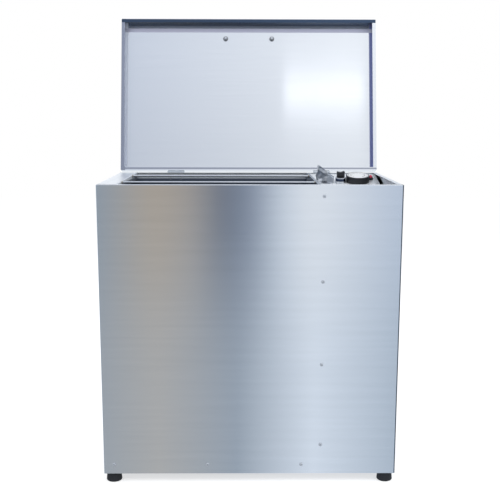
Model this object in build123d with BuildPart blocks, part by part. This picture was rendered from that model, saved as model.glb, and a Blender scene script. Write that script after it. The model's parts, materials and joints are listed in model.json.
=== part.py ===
from build123d import *
import os
from math import cos, pi, radians, sin, tan

# Film drying cabinet: a brushed stainless sheet cabinet on four rubber feet, with a hinged lid that stands
# open, a chamber where film hangers hang from two rails, and a compartment with the blower and the controls.
# Millimetres, +Z up, +Y to the back. The origin is on the floor, under the middle of the cabinet body.

os.makedirs("parts", exist_ok=True)

# Cabinet body
body_width = 600.0
body_depth = 360.0
body_height = 595.0
foot_height = 20.0
sheet = 1.2
bend = 2.0
seam = 0.3
cut_reach = 40.0

# Folded edges of the panels
front_hem = 10.0
rear_hem = 6.0
right_hem = 10.5
rail_shelf = 39.0
rail_lip = 18.0
side_return = 15.0
bottom_return = 20.0
hem_round = 0.96 * sheet

# Partition and floors
compartment_width = 166.0
partition_flange = 20.0
partition_hem = 4.0
partition_drop = 0.6
base_flange = 35.0
plenum_height = 52.0
slot_length = 34.0
slot_pitch = 44.0
slot_width = 6.0
slot_rows = 4
slot_columns = 9
return_slot = 44.0
return_slot_gap = 8.0
return_pitch = 14.0
return_columns = 3
return_rows = 5
return_share = 0.72
intake_length = 80.0
intake_width = 5.0
intake_pitch = 14.0
intake_rows = 5
tray_room = 1.0

# Film hanger rails
rail_diameter = 5.0
rail_spacing = 180.0

# Lid and its hinges
lid_depth = 360.0
lid_height = 25.0
lid_flange = 8.0
lid_gap = 0.5
lid_open_angle = 103.5
hinge_back = 4.0
hinge_rise = 0.75
hinge_length = 37.0
hinge_spacing = 341.0
barrel_diameter = 7.0
pin_diameter = 3.0
leaf = 1.5
leaf_height = 22.0
knuckle_gap = 0.3
running_gap = 0.05
stop_length = 9.0
stop_top = 2.2
swing_gap = 0.6
knuckle_room = 1.0
pin_tail = 0.5
pin_head = 1.2
pin_head_gap = 0.1
pin_flare = 0.6

# Lid handle
handle_centres = 110.0
handle_inset = 40.0
handle_height = 34.0
handle_bar = 8.0
handle_bend = 14.0
stud_diameter = 5.0
stud_length = 8.0
collar_radius = 0.85 * handle_bar
collar_height = 3.0
washer_radius = 6.0
washer = 1.0
handle_nut = 8.0
handle_nut_height = 4.0

# Feet
foot_diameter = 32.0
foot_inset = 18.5
foot_recess = 14.0
foot_web = 14.0
foot_draft = 1.5
tread_inset = 3.0
tread_round = 4.0

# Sloping control deck and what stands on it
deck_slope = 12.0
deck_drop = 2.0
deck_side_gap = 4.3
deck_flange = 20.0
dial_diameter = 54.0
dial_height = 15.0
dial_rim = 3.0
dial_base = 0.6
dial_chamfer = 1.0
dial_draft = 0.6
dial_round = 2.0
face_recess = 1.2
face_sheet = 1.0
shaft_6 = 6.0
shaft_hole = 8.0
shaft_in = 18.0
shaft_out = 9.0
stat_width = 42.0
stat_depth = 38.0
stat_height = 28.0
stat_corner = 4.0
stat_round = 3.0
stat_bore = 22.0
capsule_radius = 11.0
capsule_height = 5.0
tag_offset = 14.0
tag_drop = 8.0
tag_width = 6.0
tag_length = 12.0
tag_sheet = 0.8
dial_from_right = 54.0
dial_from_rear = 67.5
selector_from_right = 93.5
selector_from_rear = 74.5
bezel_diameter = 24.0
bezel_height = 13.0
bezel_wall = 2.6
bezel_draft = 0.6
bezel_round = 1.8
lever_height = 14.0
lever_half = 3.5
selector_barrel = 22.0
selector_barrel_length = 16.0
selector_width = 28.0
selector_depth = 38.0
selector_neck = 12.5
selector_block = 24.0
selector_nut = 12.8
selector_nut_height = 3.0
selector_tag = 8.0
selector_tag_height = 3.0
barrel_gap = 0.2
pilot_from_right = 22.5
pilot_from_rear = 51.0
pilot_diameter = 12.0
pilot_length = 24.0
pilot_collar = 5.5
lamp_barrel = 8.0
lens_wall = 1.4
lens_seat = 3.0
lens_shoulder = 7.0
lens_rise = 4.0
pilot_nut_flat = 6.0
pilot_nut_height = 2.5
deflector_from_right = 130.0
deflector_from_rear = 84.0
deflector_width = 42.0
deflector_height = 41.0
blade_sheet = 1.0
foot_depth = 14.0

# Blower
wheel_radius = 45.0
wheel_width = 45.0
blade_count = 24
blade_chord = 11.0
wheel_side = 1.5
wheel_gap = 5.0
hub_wall = 5.0
hub_length = 16.0
scroll_width = 60.0
scroll_radius = 56.0
scroll_step = 12.0
outlet_height = 46.0
blower_from_right = 81.0
blower_stand = 5.6
motor_diameter = 72.0
motor_length = 52.0
motor_face = 2.0
motor_collar = 12.0
motor_round = 5.0
motor_slots = 12
shaft_diameter = 8.0
shaft_back = 8.0
shaft_front = 24.0
stand_rear = 60.0
stand_front = 40.0
stand_flange = 12.0

# Thermostat's bulb and its capillary
bulb_diameter = 6.5
bulb_length = 70.0
bulb_y = 60.0
bulb_depth = 150.0
bulb_offset = 8.0
bulb_round = 1.5
capillary = 2.0
capillary_room = 2.0
capillary_rise = 20.0
capillary_bend = 7.0
clip_sheet = 0.8
clip_width = 8.0
clip_mouth = 50
clip_foot = 10.0

# Heater
heater_diameter = 8.5
heater_half_pitch = 55.0
heater_reach = 360.0
heater_height = 26.0
heater_tail = 24.0
terminal_radius = 2.0
terminal_length = 12.0
bush_diameter = 12.0
bush_flange = 3.0
bush_nut = 9.0
bush_nut_height = 4.0
bracket_sheet = 1.5
bracket_foot = 16.0
bracket_end = 14.0
heater_room = 10.0

# Terminal block and mains gland
block_height = 200.0
block_half_length = 36.0
block_half_height = 11.0
block_depth = 18.0
pole_pitch = 12.0
pole_count = 6
well_radius = 3.0
well_depth = 6.0
barrier = 1.5
barrier_height = 2.5
gland_from_right = 45.0
gland_height = 45.0
gland_thread = 16.0
gland_thread_length = 12.0
gland_flat = 11.0
gland_flange = 5.0
gland_dome_radius = 9.5
gland_dome = 11.0
gland_bore = 8.4
gland_nut_height = 4.5

# Screws
screw_head = 7.0
screw_stem = 4.0
screw_length = 8.0
hole_gap = 0.1
screw_hole = screw_stem + 2 * hole_gap
front_screw_low = 63.0
front_screw_top = 22.0
front_screw_count = 4
floor_screw_height = 20.0
floor_screw_inset = 21.0
floor_screw_end = 28.0
floor_screw_count = 3
rear_screw_low = 60.0
rear_screw_top = 70.0
rear_screw_count = 4
foot_bolt = 6.0
foot_nut = 10.0
bolt_head = 11.0
bolt_head_height = 3.0
foot_nut_height = 4.5
bolt_tail = 1.5
head_edge = 1.0
head_dome = 1.2

# Louvres of the rear panel
louvre_low = 330.0
louvre_count = 6
louvre_width = 100.0
louvre_slot = 5.0
louvre_depth = 6.0
louvre_rise = 14.0
louvre_pitch = 20.0

# Places that follow from the sizes above
left = -body_width / 2
right = body_width / 2
front = -body_depth / 2
rear = body_depth / 2
bottom = foot_height
rim = foot_height + body_height
partition_x = right - compartment_width
dial_x = right - dial_from_right
dial_y = rear - dial_from_rear
selector_x = right - selector_from_right
selector_y = rear - selector_from_rear
pilot_x = right - pilot_from_right
pilot_y = rear - pilot_from_rear
deflector_x = right - deflector_from_right
deflector_y = rear - deflector_from_rear
blower_x = right - blower_from_right
dial_face_radius = dial_diameter / 2 - dial_rim
floor_top = bottom + 2 * sheet
chamber_floor_z = floor_top + plenum_height
hinge_y = rear + hinge_back
hinge_z = rim + hinge_rise
shelf_edge = left + rail_shelf
flange_x = partition_x + sheet + partition_flange / 2
floor_screw_z = bottom + floor_screw_height
bulb_z = rim - bulb_depth
capillary_z = bulb_z + bulb_length / 2 + capillary_rise


def block(x, y, z, mode=Mode.ADD):
    """A block between a low and a high value along each direction."""
    with Locations(((x[0] + x[1]) / 2, (y[0] + y[1]) / 2, (z[0] + z[1]) / 2)):
        Box(x[1] - x[0], y[1] - y[0], z[1] - z[0], mode=mode)


def drill(places, direction, diameter, depth=6.0):
    """Round holes through a sheet, each centred on a place and running along the direction."""
    for place in places:
        with Locations(Plane(origin=place, z_dir=direction)):
            Cylinder(diameter / 2, depth, mode=Mode.SUBTRACT)


def save(name, part):
    part.label = name
    export_step(part, f"parts/{name}.step")


def spread(low, high, count):
    """Evenly spaced values from low to high."""
    return [low + (high - low) * step / (count - 1) for step in range(count)]


front_screw_z = spread(bottom + front_screw_low, rim - front_screw_top, front_screw_count)
floor_screw_x = spread(left + floor_screw_inset, partition_x - floor_screw_end, floor_screw_count)

# Front panel: one folded sheet with short returns to the back all round
with BuildPart() as front_panel:
    with BuildSketch(Plane.XY.offset(bottom)):
        with BuildLine():
            FilletPolyline((left, front + side_return), (left, front), (right, front),
                           (right, front + side_return), radius=bend)
            offset(amount=sheet, side=Side.LEFT)
        make_face()
    extrude(amount=body_height)
    block((left + sheet, right - sheet), (front + sheet / 2, front + front_hem), (rim - sheet, rim))
    block((left + sheet, right - sheet), (front + sheet / 2, front + side_return), (bottom, bottom + sheet))
    long_edges = front_panel.edges().filter_by(Axis.X).group_by(Axis.Y)[0]
    fillet(long_edges, radius=hem_round)
    drill([(flange_x, front, z) for z in front_screw_z], (0, 1, 0), screw_hole)
    drill([(x, front, floor_screw_z) for x in floor_screw_x], (0, 1, 0), screw_hole)
save("front_panel", front_panel.part)

# Side panels: folded sheets with a bottom return and a top shelf, lapped inside the front panel's returns
side_front = front + side_return
side_rear = rear - sheet
rear_screw_z = spread(bottom + rear_screw_low, rim - rear_screw_top, rear_screw_count)
rear_screw_x = [left + (side_return + sheet / 2) / 2, flange_x, right - (side_return + sheet / 2) / 2]
foot_places = [(x, y) for x in (left + foot_inset, right - foot_inset)
               for y in (front + foot_inset, rear - foot_inset)]


def side_panel(profile, side, lap_x, return_x, return_top):
    """A side sheet folded from its profile, with the lap strip at the front and the return at the back."""
    with BuildPart() as panel:
        with BuildSketch(Plane.XZ.offset(-side_rear)):
            with BuildLine():
                FilletPolyline(*profile, radius=bend)
                offset(amount=sheet, side=side)
            make_face()
        extrude(amount=side_rear - side_front)
        block(lap_x, (front + bend + seam, side_front + side_return),
              (bottom + bend + sheet, rim - bend - sheet))
        block(return_x, (side_rear - sheet, side_rear), (bottom + bend + sheet, return_top))
        screw_x = sum(return_x) / 2
        drill([(screw_x, side_rear, z) for z in rear_screw_z], (0, 1, 0), screw_hole)
        drill([(x, y, bottom) for x, y in foot_places], (0, 0, 1), foot_bolt + 2 * hole_gap)
    return panel


left_panel = side_panel(
    [(left + bottom_return, bottom), (left, bottom), (left, rim), (shelf_edge, rim),
     (shelf_edge, rim - rail_lip)],
    Side.RIGHT, (left + sheet, left + 2 * sheet), (left + sheet / 2, left + side_return),
    rim - rail_lip - seam)
save("left_panel", left_panel.part)

right_panel = side_panel(
    [(right - bottom_return, bottom), (right, bottom), (right, rim), (right - right_hem, rim)],
    Side.LEFT, (right - 2 * sheet, right - sheet), (right - side_return, right - sheet / 2),
    rim - deck_drop - deck_flange - seam)
save("right_panel", right_panel.part)

# Rear panel: a flat sheet with a narrow hem at the top, louvres at the compartment and the mains gland's hole
louvre_x = (partition_x + right) / 2
louvre_z = [bottom + louvre_low + row * louvre_pitch for row in range(louvre_count)]
gland_x = right - gland_from_right
gland_z = bottom + gland_height
leaf_screw_x = 12.0
leaf_screw_drop = 15.0
hinge_centres = [-hinge_spacing / 2, hinge_spacing / 2]
body_leaf_screws = [(x + side, rear, hinge_z - leaf_screw_drop)
                    for x in hinge_centres for side in (-leaf_screw_x, leaf_screw_x)]
with BuildPart() as rear_panel:
    block((left, right), (side_rear, rear), (bottom, rim))
    block((shelf_edge + seam, right - right_hem - seam), (rear - rear_hem, side_rear + sheet / 2),
          (rim - sheet, rim))
    for z in louvre_z:
        block((louvre_x - louvre_width / 2, louvre_x + louvre_width / 2),
              (side_rear - sheet, rear + sheet), (z, z + louvre_slot), Mode.SUBTRACT)
        with BuildSketch(Plane.YZ.offset(louvre_x - louvre_width / 2 - sheet)):
            with BuildLine():
                Line((rear - sheet / 2, z + louvre_rise), (rear, z + louvre_rise))
                ThreePointArc((rear, z + louvre_rise), (rear + louvre_depth * 0.75, z + louvre_rise * 0.6),
                              (rear + louvre_depth, z))
                Line((rear + louvre_depth, z), (rear - sheet / 2, z))
                Line((rear - sheet / 2, z), (rear - sheet / 2, z + louvre_rise))
            make_face()
        extrude(amount=louvre_width + 2 * sheet)
        with BuildSketch(Plane.YZ.offset(louvre_x - louvre_width / 2)):
            with BuildLine():
                Line((side_rear - sheet, z + louvre_slot), (rear, z + louvre_rise - 2 * sheet))
                ThreePointArc((rear, z + louvre_rise - 2 * sheet),
                              (rear + louvre_depth * 0.55, z + louvre_rise * 0.42),
                              (rear + louvre_depth - sheet, z - sheet))
                Line((rear + louvre_depth - sheet, z - sheet), (rear, z - sheet))
                Line((rear, z - sheet), (rear, z))
                Line((rear, z), (side_rear - sheet, z))
                Line((side_rear - sheet, z), (side_rear - sheet, z + louvre_slot))
            make_face()
        extrude(amount=louvre_width, mode=Mode.SUBTRACT)
    drill([(gland_x, rear, gland_z)], (0, 1, 0), gland_thread + 2 * hole_gap)
    drill([(x, rear, z) for x in rear_screw_x for z in rear_screw_z], (0, 1, 0), screw_hole)
    drill(body_leaf_screws, (0, 1, 0), screw_hole)
save("rear_panel", rear_panel.part)

# Base pan under the drying chamber, with upturned edges that the bottom screws hold
base_left = left + bend + seam
base_right = partition_x - seam
with BuildPart() as base_pan:
    block((base_left, base_right), (front + sheet, side_rear - sheet - seam), (bottom + sheet, floor_top))
    block((left + side_return + sheet, base_right), (front + sheet, front + 2 * sheet),
          (bottom + sheet, floor_top + base_flange))
    block((left + side_return + sheet, base_right), (side_rear - 2 * sheet - seam, side_rear - sheet - seam),
          (bottom + sheet, floor_top + base_flange))
    pan_screws = [(x, front + 1.5 * sheet, floor_screw_z) for x in floor_screw_x]
    drill(pan_screws, (0, 1, 0), screw_hole, 2 * sheet)
    drill([(x, y, floor_top) for x, y in foot_places], (0, 0, 1), foot_bolt + 2 * hole_gap)
save("base_pan", base_pan.part)

# Equipment floor under the compartment
with BuildPart() as equipment_floor:
    block((partition_x, right - bend - seam), (front + sheet, side_rear - sheet - seam),
          (bottom + sheet, floor_top))
    with Locations((louvre_x, 0.6 * rear, bottom + 1.5 * sheet)):
        with GridLocations(0, intake_pitch, 1, intake_rows):
            Box(intake_length, intake_width, 4 * sheet, mode=Mode.SUBTRACT)
    drill([(x, y, floor_top) for x, y in foot_places], (0, 0, 1), foot_bolt + 2 * hole_gap)
save("equipment_floor", equipment_floor.part)

# Feet: turned rubber buffers with a recess for the bolt head
foot_radius = foot_diameter / 2
foot_tread = foot_radius - tread_inset
foot_top = foot_radius - foot_draft
web_low = foot_height - foot_web
foot_bore = foot_bolt / 2 + hole_gap
with BuildPart() as foot:
    with BuildSketch(Plane.XZ):
        with BuildLine():
            Line((foot_recess / 2, 0), (foot_tread, 0))
            ThreePointArc((foot_tread, 0), (foot_radius - tread_round / 4, tread_round / 4),
                          (foot_radius, tread_round))
            Polyline((foot_radius, tread_round), (foot_top, foot_height), (foot_bore, foot_height),
                     (foot_bore, web_low), (foot_recess / 2, web_low), (foot_recess / 2, 0))
        make_face()
    revolve(axis=Axis.Z)
foot_names = ["foot_front_left", "foot_rear_left", "foot_front_right", "foot_rear_right"]
for name, (x, y) in zip(foot_names, foot_places):
    save(name, foot.part.moved(Location((x, y, 0))))

# Bolts that hold the feet, each with its nut on the floor sheet
bolt_end = floor_top + foot_nut_height + bolt_tail
with BuildPart() as foot_bolts:
    with BuildSketch(Plane.XY.offset(web_low)):
        with Locations(*foot_places):
            Circle(bolt_head / 2)
    extrude(amount=-bolt_head_height)
    with BuildSketch(Plane.XY.offset(web_low)):
        with Locations(*foot_places):
            Circle(foot_bolt / 2)
    extrude(amount=bolt_end - web_low)
    with BuildSketch(Plane.XY.offset(floor_top)):
        with Locations(*foot_places):
            RegularPolygon(foot_nut / 2, 6, major_radius=False)
    extrude(amount=foot_nut_height)
save("foot_bolts", foot_bolts.part)

# Partition between the chamber and the compartment, with the blower's outlet, the air's way back and
# the heater's holes
outlet_low = floor_top + blower_stand
outlet_high = outlet_low + outlet_height
outlet_half = scroll_width / 2
heater_z = floor_top + heater_height
grille_z = bottom + body_height * return_share
partition_top = rim - partition_drop
with BuildPart() as partition:
    block((partition_x, partition_x + sheet), (front + sheet, side_rear), (floor_top, partition_top))
    block((partition_x, partition_x + sheet + partition_flange), (front + sheet, front + 2 * sheet),
          (floor_top, partition_top - 2 * sheet))
    block((partition_x, partition_x + sheet + partition_flange), (side_rear - sheet, side_rear),
          (floor_top, partition_top - rail_lip))
    block((partition_x, partition_x + sheet + partition_hem),
          (front + front_hem + seam, rear - rear_hem - seam), (partition_top - sheet, partition_top))
    block((partition_x, partition_x + sheet + partition_flange), (front + sheet, side_rear),
          (floor_top, floor_top + sheet))
    block((partition_x, partition_x + cut_reach), (-outlet_half - seam, outlet_half + seam),
          (outlet_low - seam, outlet_high + seam), Mode.SUBTRACT)
    block((partition_x + 2 * sheet, partition_x + cut_reach), (-outlet_half - seam, outlet_half + seam),
          (floor_top - sheet, outlet_low), Mode.SUBTRACT)
    block((partition_x - sheet, partition_x + 2 * sheet), (front, front + front_hem + seam),
          (rim - sheet - seam, rim), Mode.SUBTRACT)
    block((partition_x - sheet, partition_x + 2 * sheet), (rear - rear_hem - seam, rear),
          (rim - sheet - seam, rim), Mode.SUBTRACT)
    with BuildSketch(Plane.YZ.offset(partition_x - sheet)):
        with Locations((0, grille_z)):
            with GridLocations(return_slot + return_slot_gap, return_pitch, return_columns, return_rows):
                SlotOverall(return_slot, slot_width)
    extrude(amount=4 * sheet, mode=Mode.SUBTRACT)
    drill([(partition_x, side * heater_half_pitch, heater_z) for side in (-1, 1)], (1, 0, 0), bush_diameter)
    drill([(flange_x, front + 1.5 * sheet, z) for z in front_screw_z], (0, 1, 0), screw_hole, 4 * sheet)
    drill([(flange_x, side_rear, z) for z in rear_screw_z], (0, 1, 0), screw_hole)
    drill([(partition_x, bulb_y, capillary_z)], (1, 0, 0), capillary + capillary_room)
save("partition", partition.part)

# Perforated chamber floor: a lift-out tray on its own skirts, over the heated plenum
tray_left = left + foot_inset + foot_nut / 2 + 2 * tray_room
tray_right = base_right - seam
tray_front = front + screw_length + tray_room
tray_rear = rear - screw_length - tray_room
tray_mid = (tray_left + tray_right) / 2
with BuildPart() as chamber_floor:
    block((tray_left, tray_right), (tray_front, tray_rear), (floor_top, chamber_floor_z))
    fillet(chamber_floor.edges().group_by(Axis.Z)[-1], radius=bend)
    block((tray_left + sheet, tray_right - sheet), (tray_front + sheet, tray_rear - sheet),
          (floor_top - sheet, chamber_floor_z - sheet), Mode.SUBTRACT)
    block((tray_right - 2 * sheet, tray_right + sheet),
          (-heater_half_pitch - heater_room, heater_half_pitch + heater_room),
          (floor_top - sheet, outlet_high), Mode.SUBTRACT)
    with BuildSketch(Plane.XY.offset(chamber_floor_z + sheet)):
        with Locations((tray_mid, (tray_front + tray_rear) / 2)):
            row_pitch = (tray_rear - tray_front) / (slot_rows + 1)
            with GridLocations(slot_pitch, row_pitch, slot_columns, slot_rows):
                SlotOverall(slot_length, slot_width)
    extrude(amount=-3 * sheet, mode=Mode.SUBTRACT)
save("chamber_floor", chamber_floor.part)

# Hanger rails: two round bars welded between the left shelf's lip and the partition
rail_z = rim - rail_diameter / 2
for name, y in (("hanger_rail_front", -rail_spacing / 2), ("hanger_rail_rear", rail_spacing / 2)):
    with BuildPart() as hanger_rail:
        with BuildSketch(Plane.YZ.offset(shelf_edge)):
            with Locations((y, rail_z)):
                Circle(rail_diameter / 2)
        extrude(amount=partition_x - shelf_edge)
    save(name, hanger_rail.part)

# Lid: a folded pan that stands open past upright; modelled closed, on a plane turned about the hinge axis
open_turn = radians(lid_open_angle)
lid_plane = Plane(origin=(0, hinge_y, hinge_z), x_dir=(1, 0, 0), z_dir=(0, sin(open_turn), cos(open_turn)))
lid_low = lid_gap - hinge_rise
lid_high = lid_low + lid_height
lid_rear = -hinge_back
lid_front = lid_rear - lid_depth
handle_y = lid_front + handle_inset
lid_leaf_screw_z = leaf_screw_drop - hinge_rise
with BuildPart(lid_plane) as lid_pan:
    block((left, right), (lid_front, lid_rear), (lid_low, lid_high))
    outward = Axis(lid_plane.origin, lid_plane.z_dir)
    corner_edges = lid_pan.edges().filter_by(outward)
    top_edges = lid_pan.edges().group_by(outward)[-1]
    fillet(corner_edges + top_edges, radius=bend)
    block((left + sheet, right - sheet), (lid_front + sheet, lid_rear - sheet),
          (lid_low + sheet, lid_high - sheet), Mode.SUBTRACT)
    block((left + lid_flange, right - lid_flange), (lid_front + lid_flange, lid_rear - lid_flange),
          (lid_low - sheet, lid_low + 2 * sheet), Mode.SUBTRACT)
    with Locations((-handle_centres / 2, handle_y, lid_high), (handle_centres / 2, handle_y, lid_high)):
        Cylinder(stud_diameter / 2 + hole_gap, 4 * sheet, mode=Mode.SUBTRACT)
    for x in hinge_centres:
        for side in (-leaf_screw_x, leaf_screw_x):
            with Locations(Location((x + side, lid_rear, lid_leaf_screw_z), (90, 0, 0))):
                Cylinder(screw_stem / 2 + hole_gap, 4 * sheet, mode=Mode.SUBTRACT)
save("lid_pan", lid_pan.part)

# Lid handle: a bent round bar with collars, and studs through the sheet
bar_path_plane = Plane(origin=lid_plane.from_local_coords(Vector(0, handle_y, 0)), x_dir=(1, 0, 0),
                       z_dir=-lid_plane.y_dir)
with BuildPart() as lid_handle:
    with BuildLine(bar_path_plane) as bar_path:
        FilletPolyline((-handle_centres / 2, lid_high), (-handle_centres / 2, lid_high + handle_height),
                       (handle_centres / 2, lid_high + handle_height), (handle_centres / 2, lid_high),
                       radius=handle_bend)
    with BuildSketch(Plane(origin=bar_path.line @ 0, z_dir=bar_path.line % 0)):
        Circle(handle_bar / 2)
    sweep()
    with BuildSketch(lid_plane.offset(lid_high)):
        with Locations((-handle_centres / 2, handle_y), (handle_centres / 2, handle_y)):
            Circle(collar_radius)
    extrude(amount=collar_height)
    with BuildSketch(lid_plane.offset(lid_high)):
        with Locations((-handle_centres / 2, handle_y), (handle_centres / 2, handle_y)):
            Circle(stud_diameter / 2)
    extrude(amount=-sheet - stud_length)
save("lid_handle", lid_handle.part)

# Nuts and washers of the handle, on the lid's inner face
with BuildPart() as handle_nuts:
    for x in (-handle_centres / 2, handle_centres / 2):
        with BuildSketch(lid_plane.offset(lid_high - sheet)):
            with Locations((x, handle_y)):
                Circle(washer_radius)
                Circle(stud_diameter / 2 + hole_gap, mode=Mode.SUBTRACT)
        extrude(amount=-washer)
        with BuildSketch(lid_plane.offset(lid_high - sheet - washer)):
            with Locations((x, handle_y)):
                RegularPolygon(handle_nut / 2, 6, major_radius=False)
                Circle(stud_diameter / 2 + hole_gap, mode=Mode.SUBTRACT)
        extrude(amount=-handle_nut_height)
save("handle_nuts", handle_nuts.part)

# Hinges: the body leaf carries the two outer knuckles and the pin, the lid leaf the middle one with its stop
knuckle = (hinge_length - 2 * knuckle_gap) / 3
bore = pin_diameter / 2 + running_gap
hinge_plane = Plane(origin=(0, hinge_y, hinge_z))
leaf_y = (-hinge_back, leaf - hinge_back)
swing_room = barrel_diameter / 2 + swing_gap


def barrel(x, start, length):
    """A stretch of the hinge's barrel along X."""
    with Locations(Location((x + start + length / 2, 0, 0), (0, 90, 0))):
        Cylinder(barrel_diameter / 2, length)


def pin_bore(x):
    """The pin's bore through the whole barrel."""
    with Locations(Location((x, 0, 0), (0, 90, 0))):
        Cylinder(bore, 2 * hinge_length, mode=Mode.SUBTRACT)


for side_name, x in zip(("left", "right"), hinge_centres):
    with BuildPart(hinge_plane) as body_leaf:
        block((x - hinge_length / 2, x + hinge_length / 2), leaf_y, (-leaf_height - hinge_rise, 0))
        barrel(x, -hinge_length / 2, knuckle)
        barrel(x, hinge_length / 2 - knuckle, knuckle)
        block((x - knuckle / 2 - knuckle_gap, x + knuckle / 2 + knuckle_gap),
              (-barrel_diameter, barrel_diameter), (-swing_room, barrel_diameter), Mode.SUBTRACT)
        pin_bore(x)
        for side in (-leaf_screw_x, leaf_screw_x):
            with Locations(Location((x + side, leaf_y[0], -leaf_screw_drop), (90, 0, 0))):
                Cylinder(screw_stem / 2 + hole_gap, 4 * leaf, mode=Mode.SUBTRACT)
    save(f"hinge_body_leaf_{side_name}", body_leaf.part)

    with BuildPart(lid_plane) as lid_leaf:
        block((x - hinge_length / 2, x + hinge_length / 2), leaf_y, (0, leaf_height))
        for low in (-hinge_length / 2, hinge_length / 2 - knuckle - knuckle_gap):
            block((x + low - knuckle_room, x + low + knuckle + knuckle_gap + knuckle_room),
                  (-barrel_diameter, barrel_diameter), (-barrel_diameter, swing_room), Mode.SUBTRACT)
        barrel(x, -knuckle / 2, knuckle)
        pin_bore(x)
        for side in (-leaf_screw_x, leaf_screw_x):
            with Locations(Location((x + side, leaf_y[0], lid_leaf_screw_z), (90, 0, 0))):
                Cylinder(screw_stem / 2 + hole_gap, 4 * leaf, mode=Mode.SUBTRACT)
    with BuildPart(hinge_plane) as stop_lug:
        block((x - knuckle / 2, x + knuckle / 2), (leaf_y[1] + knuckle_gap, leaf_y[1] + knuckle_gap + leaf),
              (-stop_length, -stop_top))
    with BuildPart() as lid_leaf_finished:
        add(lid_leaf.part)
        add(stop_lug.part)
        with Locations(Location((x, hinge_y, hinge_z), (0, 90, 0))):
            Cylinder(bore, 2 * hinge_length, mode=Mode.SUBTRACT)
    save(f"hinge_lid_leaf_{side_name}", lid_leaf_finished.part)

    with BuildPart(hinge_plane) as hinge_pin:
        with Locations(Location((x, 0, 0), (0, 90, 0))):
            Cylinder(pin_diameter / 2, hinge_length + 2 * pin_tail)
        for end in (-1, 1):
            head_x = x + end * (hinge_length / 2 + pin_head_gap + pin_head / 2)
            with Locations(Location((head_x, 0, 0), (0, 90, 0))):
                Cylinder(pin_diameter / 2 + pin_flare, pin_head)
    save(f"hinge_pin_{side_name}", hinge_pin.part)

# Control deck: a sheet that slopes down to the front, folded down along its edges
slope = radians(deck_slope)
deck_rear_y = side_rear
deck_plane = Plane(origin=(0, deck_rear_y, rim - deck_drop), x_dir=(1, 0, 0),
                   z_dir=(0, -sin(slope), cos(slope)))
deck_left = partition_x + sheet + seam
deck_right = right - sheet - deck_side_gap
deck_run = (deck_rear_y - front - sheet) / cos(slope)


def on_deck(x, y):
    """The deck's own coordinates of a point that stands over the given X and Y."""
    return (x, (y - deck_rear_y) / cos(slope))


dial_place = on_deck(dial_x, dial_y)
selector_place = on_deck(selector_x, selector_y)
pilot_place = on_deck(pilot_x, pilot_y)
deflector_place = on_deck(deflector_x, deflector_y)
notch = partition_flange + seam
deck_front_z = rim - deck_drop - (deck_rear_y - front - sheet) * tan(slope)
deck_rear_z = rim - deck_drop
with BuildPart() as control_deck:
    with BuildSketch(deck_plane):
        with Locations(((deck_left + deck_right) / 2, -deck_run / 2)):
            Rectangle(deck_right - deck_left, deck_run)
    extrude(amount=-sheet)
    block((deck_left, deck_right), (side_rear - sheet, side_rear),
          (deck_rear_z - deck_flange, deck_rear_z - sheet))
    block((deck_left, deck_right), (front + sheet, front + 2 * sheet),
          (deck_front_z - deck_flange, deck_front_z - sheet))
    with BuildSketch(deck_plane):
        with Locations((deck_right - sheet / 2, -deck_run / 2)):
            Rectangle(sheet, deck_run)
    extrude(amount=-deck_flange / 2)
    drill(body_leaf_screws, (0, 1, 0), screw_hole, 8.0)
    block((left, right), (side_rear, rear + cut_reach), (bottom, rim + cut_reach), Mode.SUBTRACT)
    block((left, right), (front - cut_reach, front + sheet), (bottom, rim + cut_reach), Mode.SUBTRACT)
    for y_range in ((side_rear - sheet - seam, rear), (front, front + 2 * sheet + seam)):
        block((deck_left - sheet, deck_left + notch), y_range, (bottom, rim + sheet), Mode.SUBTRACT)
    with BuildSketch(deck_plane.offset(sheet)):
        with Locations(dial_place):
            Circle(shaft_hole / 2)
        with Locations(selector_place):
            Circle(selector_barrel / 2 + barrel_gap)
        with Locations(pilot_place):
            Circle(lamp_barrel / 2 + barrel_gap)
    extrude(amount=-3 * sheet, mode=Mode.SUBTRACT)
save("control_deck", control_deck.part)

# Thermostat under the deck and the dial on its shaft
stat_top = -sheet
stat_bottom = stat_top - stat_height
with BuildPart() as thermostat_body:
    with BuildSketch(deck_plane.offset(stat_top)):
        with Locations(dial_place):
            RectangleRounded(stat_width, stat_depth, stat_corner)
    extrude(amount=-stat_height)
    fillet(thermostat_body.edges().group_by(Axis(deck_plane.origin, deck_plane.z_dir))[0], radius=stat_round)
    with BuildSketch(deck_plane.offset(stat_bottom)):
        with Locations(dial_place):
            Circle(capsule_radius)
    extrude(amount=-capsule_height)
    with BuildSketch(deck_plane):
        with Locations(dial_place):
            Circle(shaft_6 / 2 + running_gap)
    extrude(amount=-stat_bore, mode=Mode.SUBTRACT)
    with BuildSketch(deck_plane.offset(stat_top - tag_drop)):
        tag_y = dial_place[1] - stat_depth / 2
        with Locations((dial_place[0] - tag_offset, tag_y), (dial_place[0] + tag_offset, tag_y)):
            Rectangle(tag_width, tag_length)
    extrude(amount=-tag_sheet)
save("thermostat_body", thermostat_body.part)

with BuildPart() as thermostat_shaft:
    with BuildSketch(deck_plane.offset(-shaft_in)):
        with Locations(dial_place):
            Circle(shaft_6 / 2)
    extrude(amount=shaft_in + dial_base + shaft_out)
save("thermostat_shaft", thermostat_shaft.part)

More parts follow.
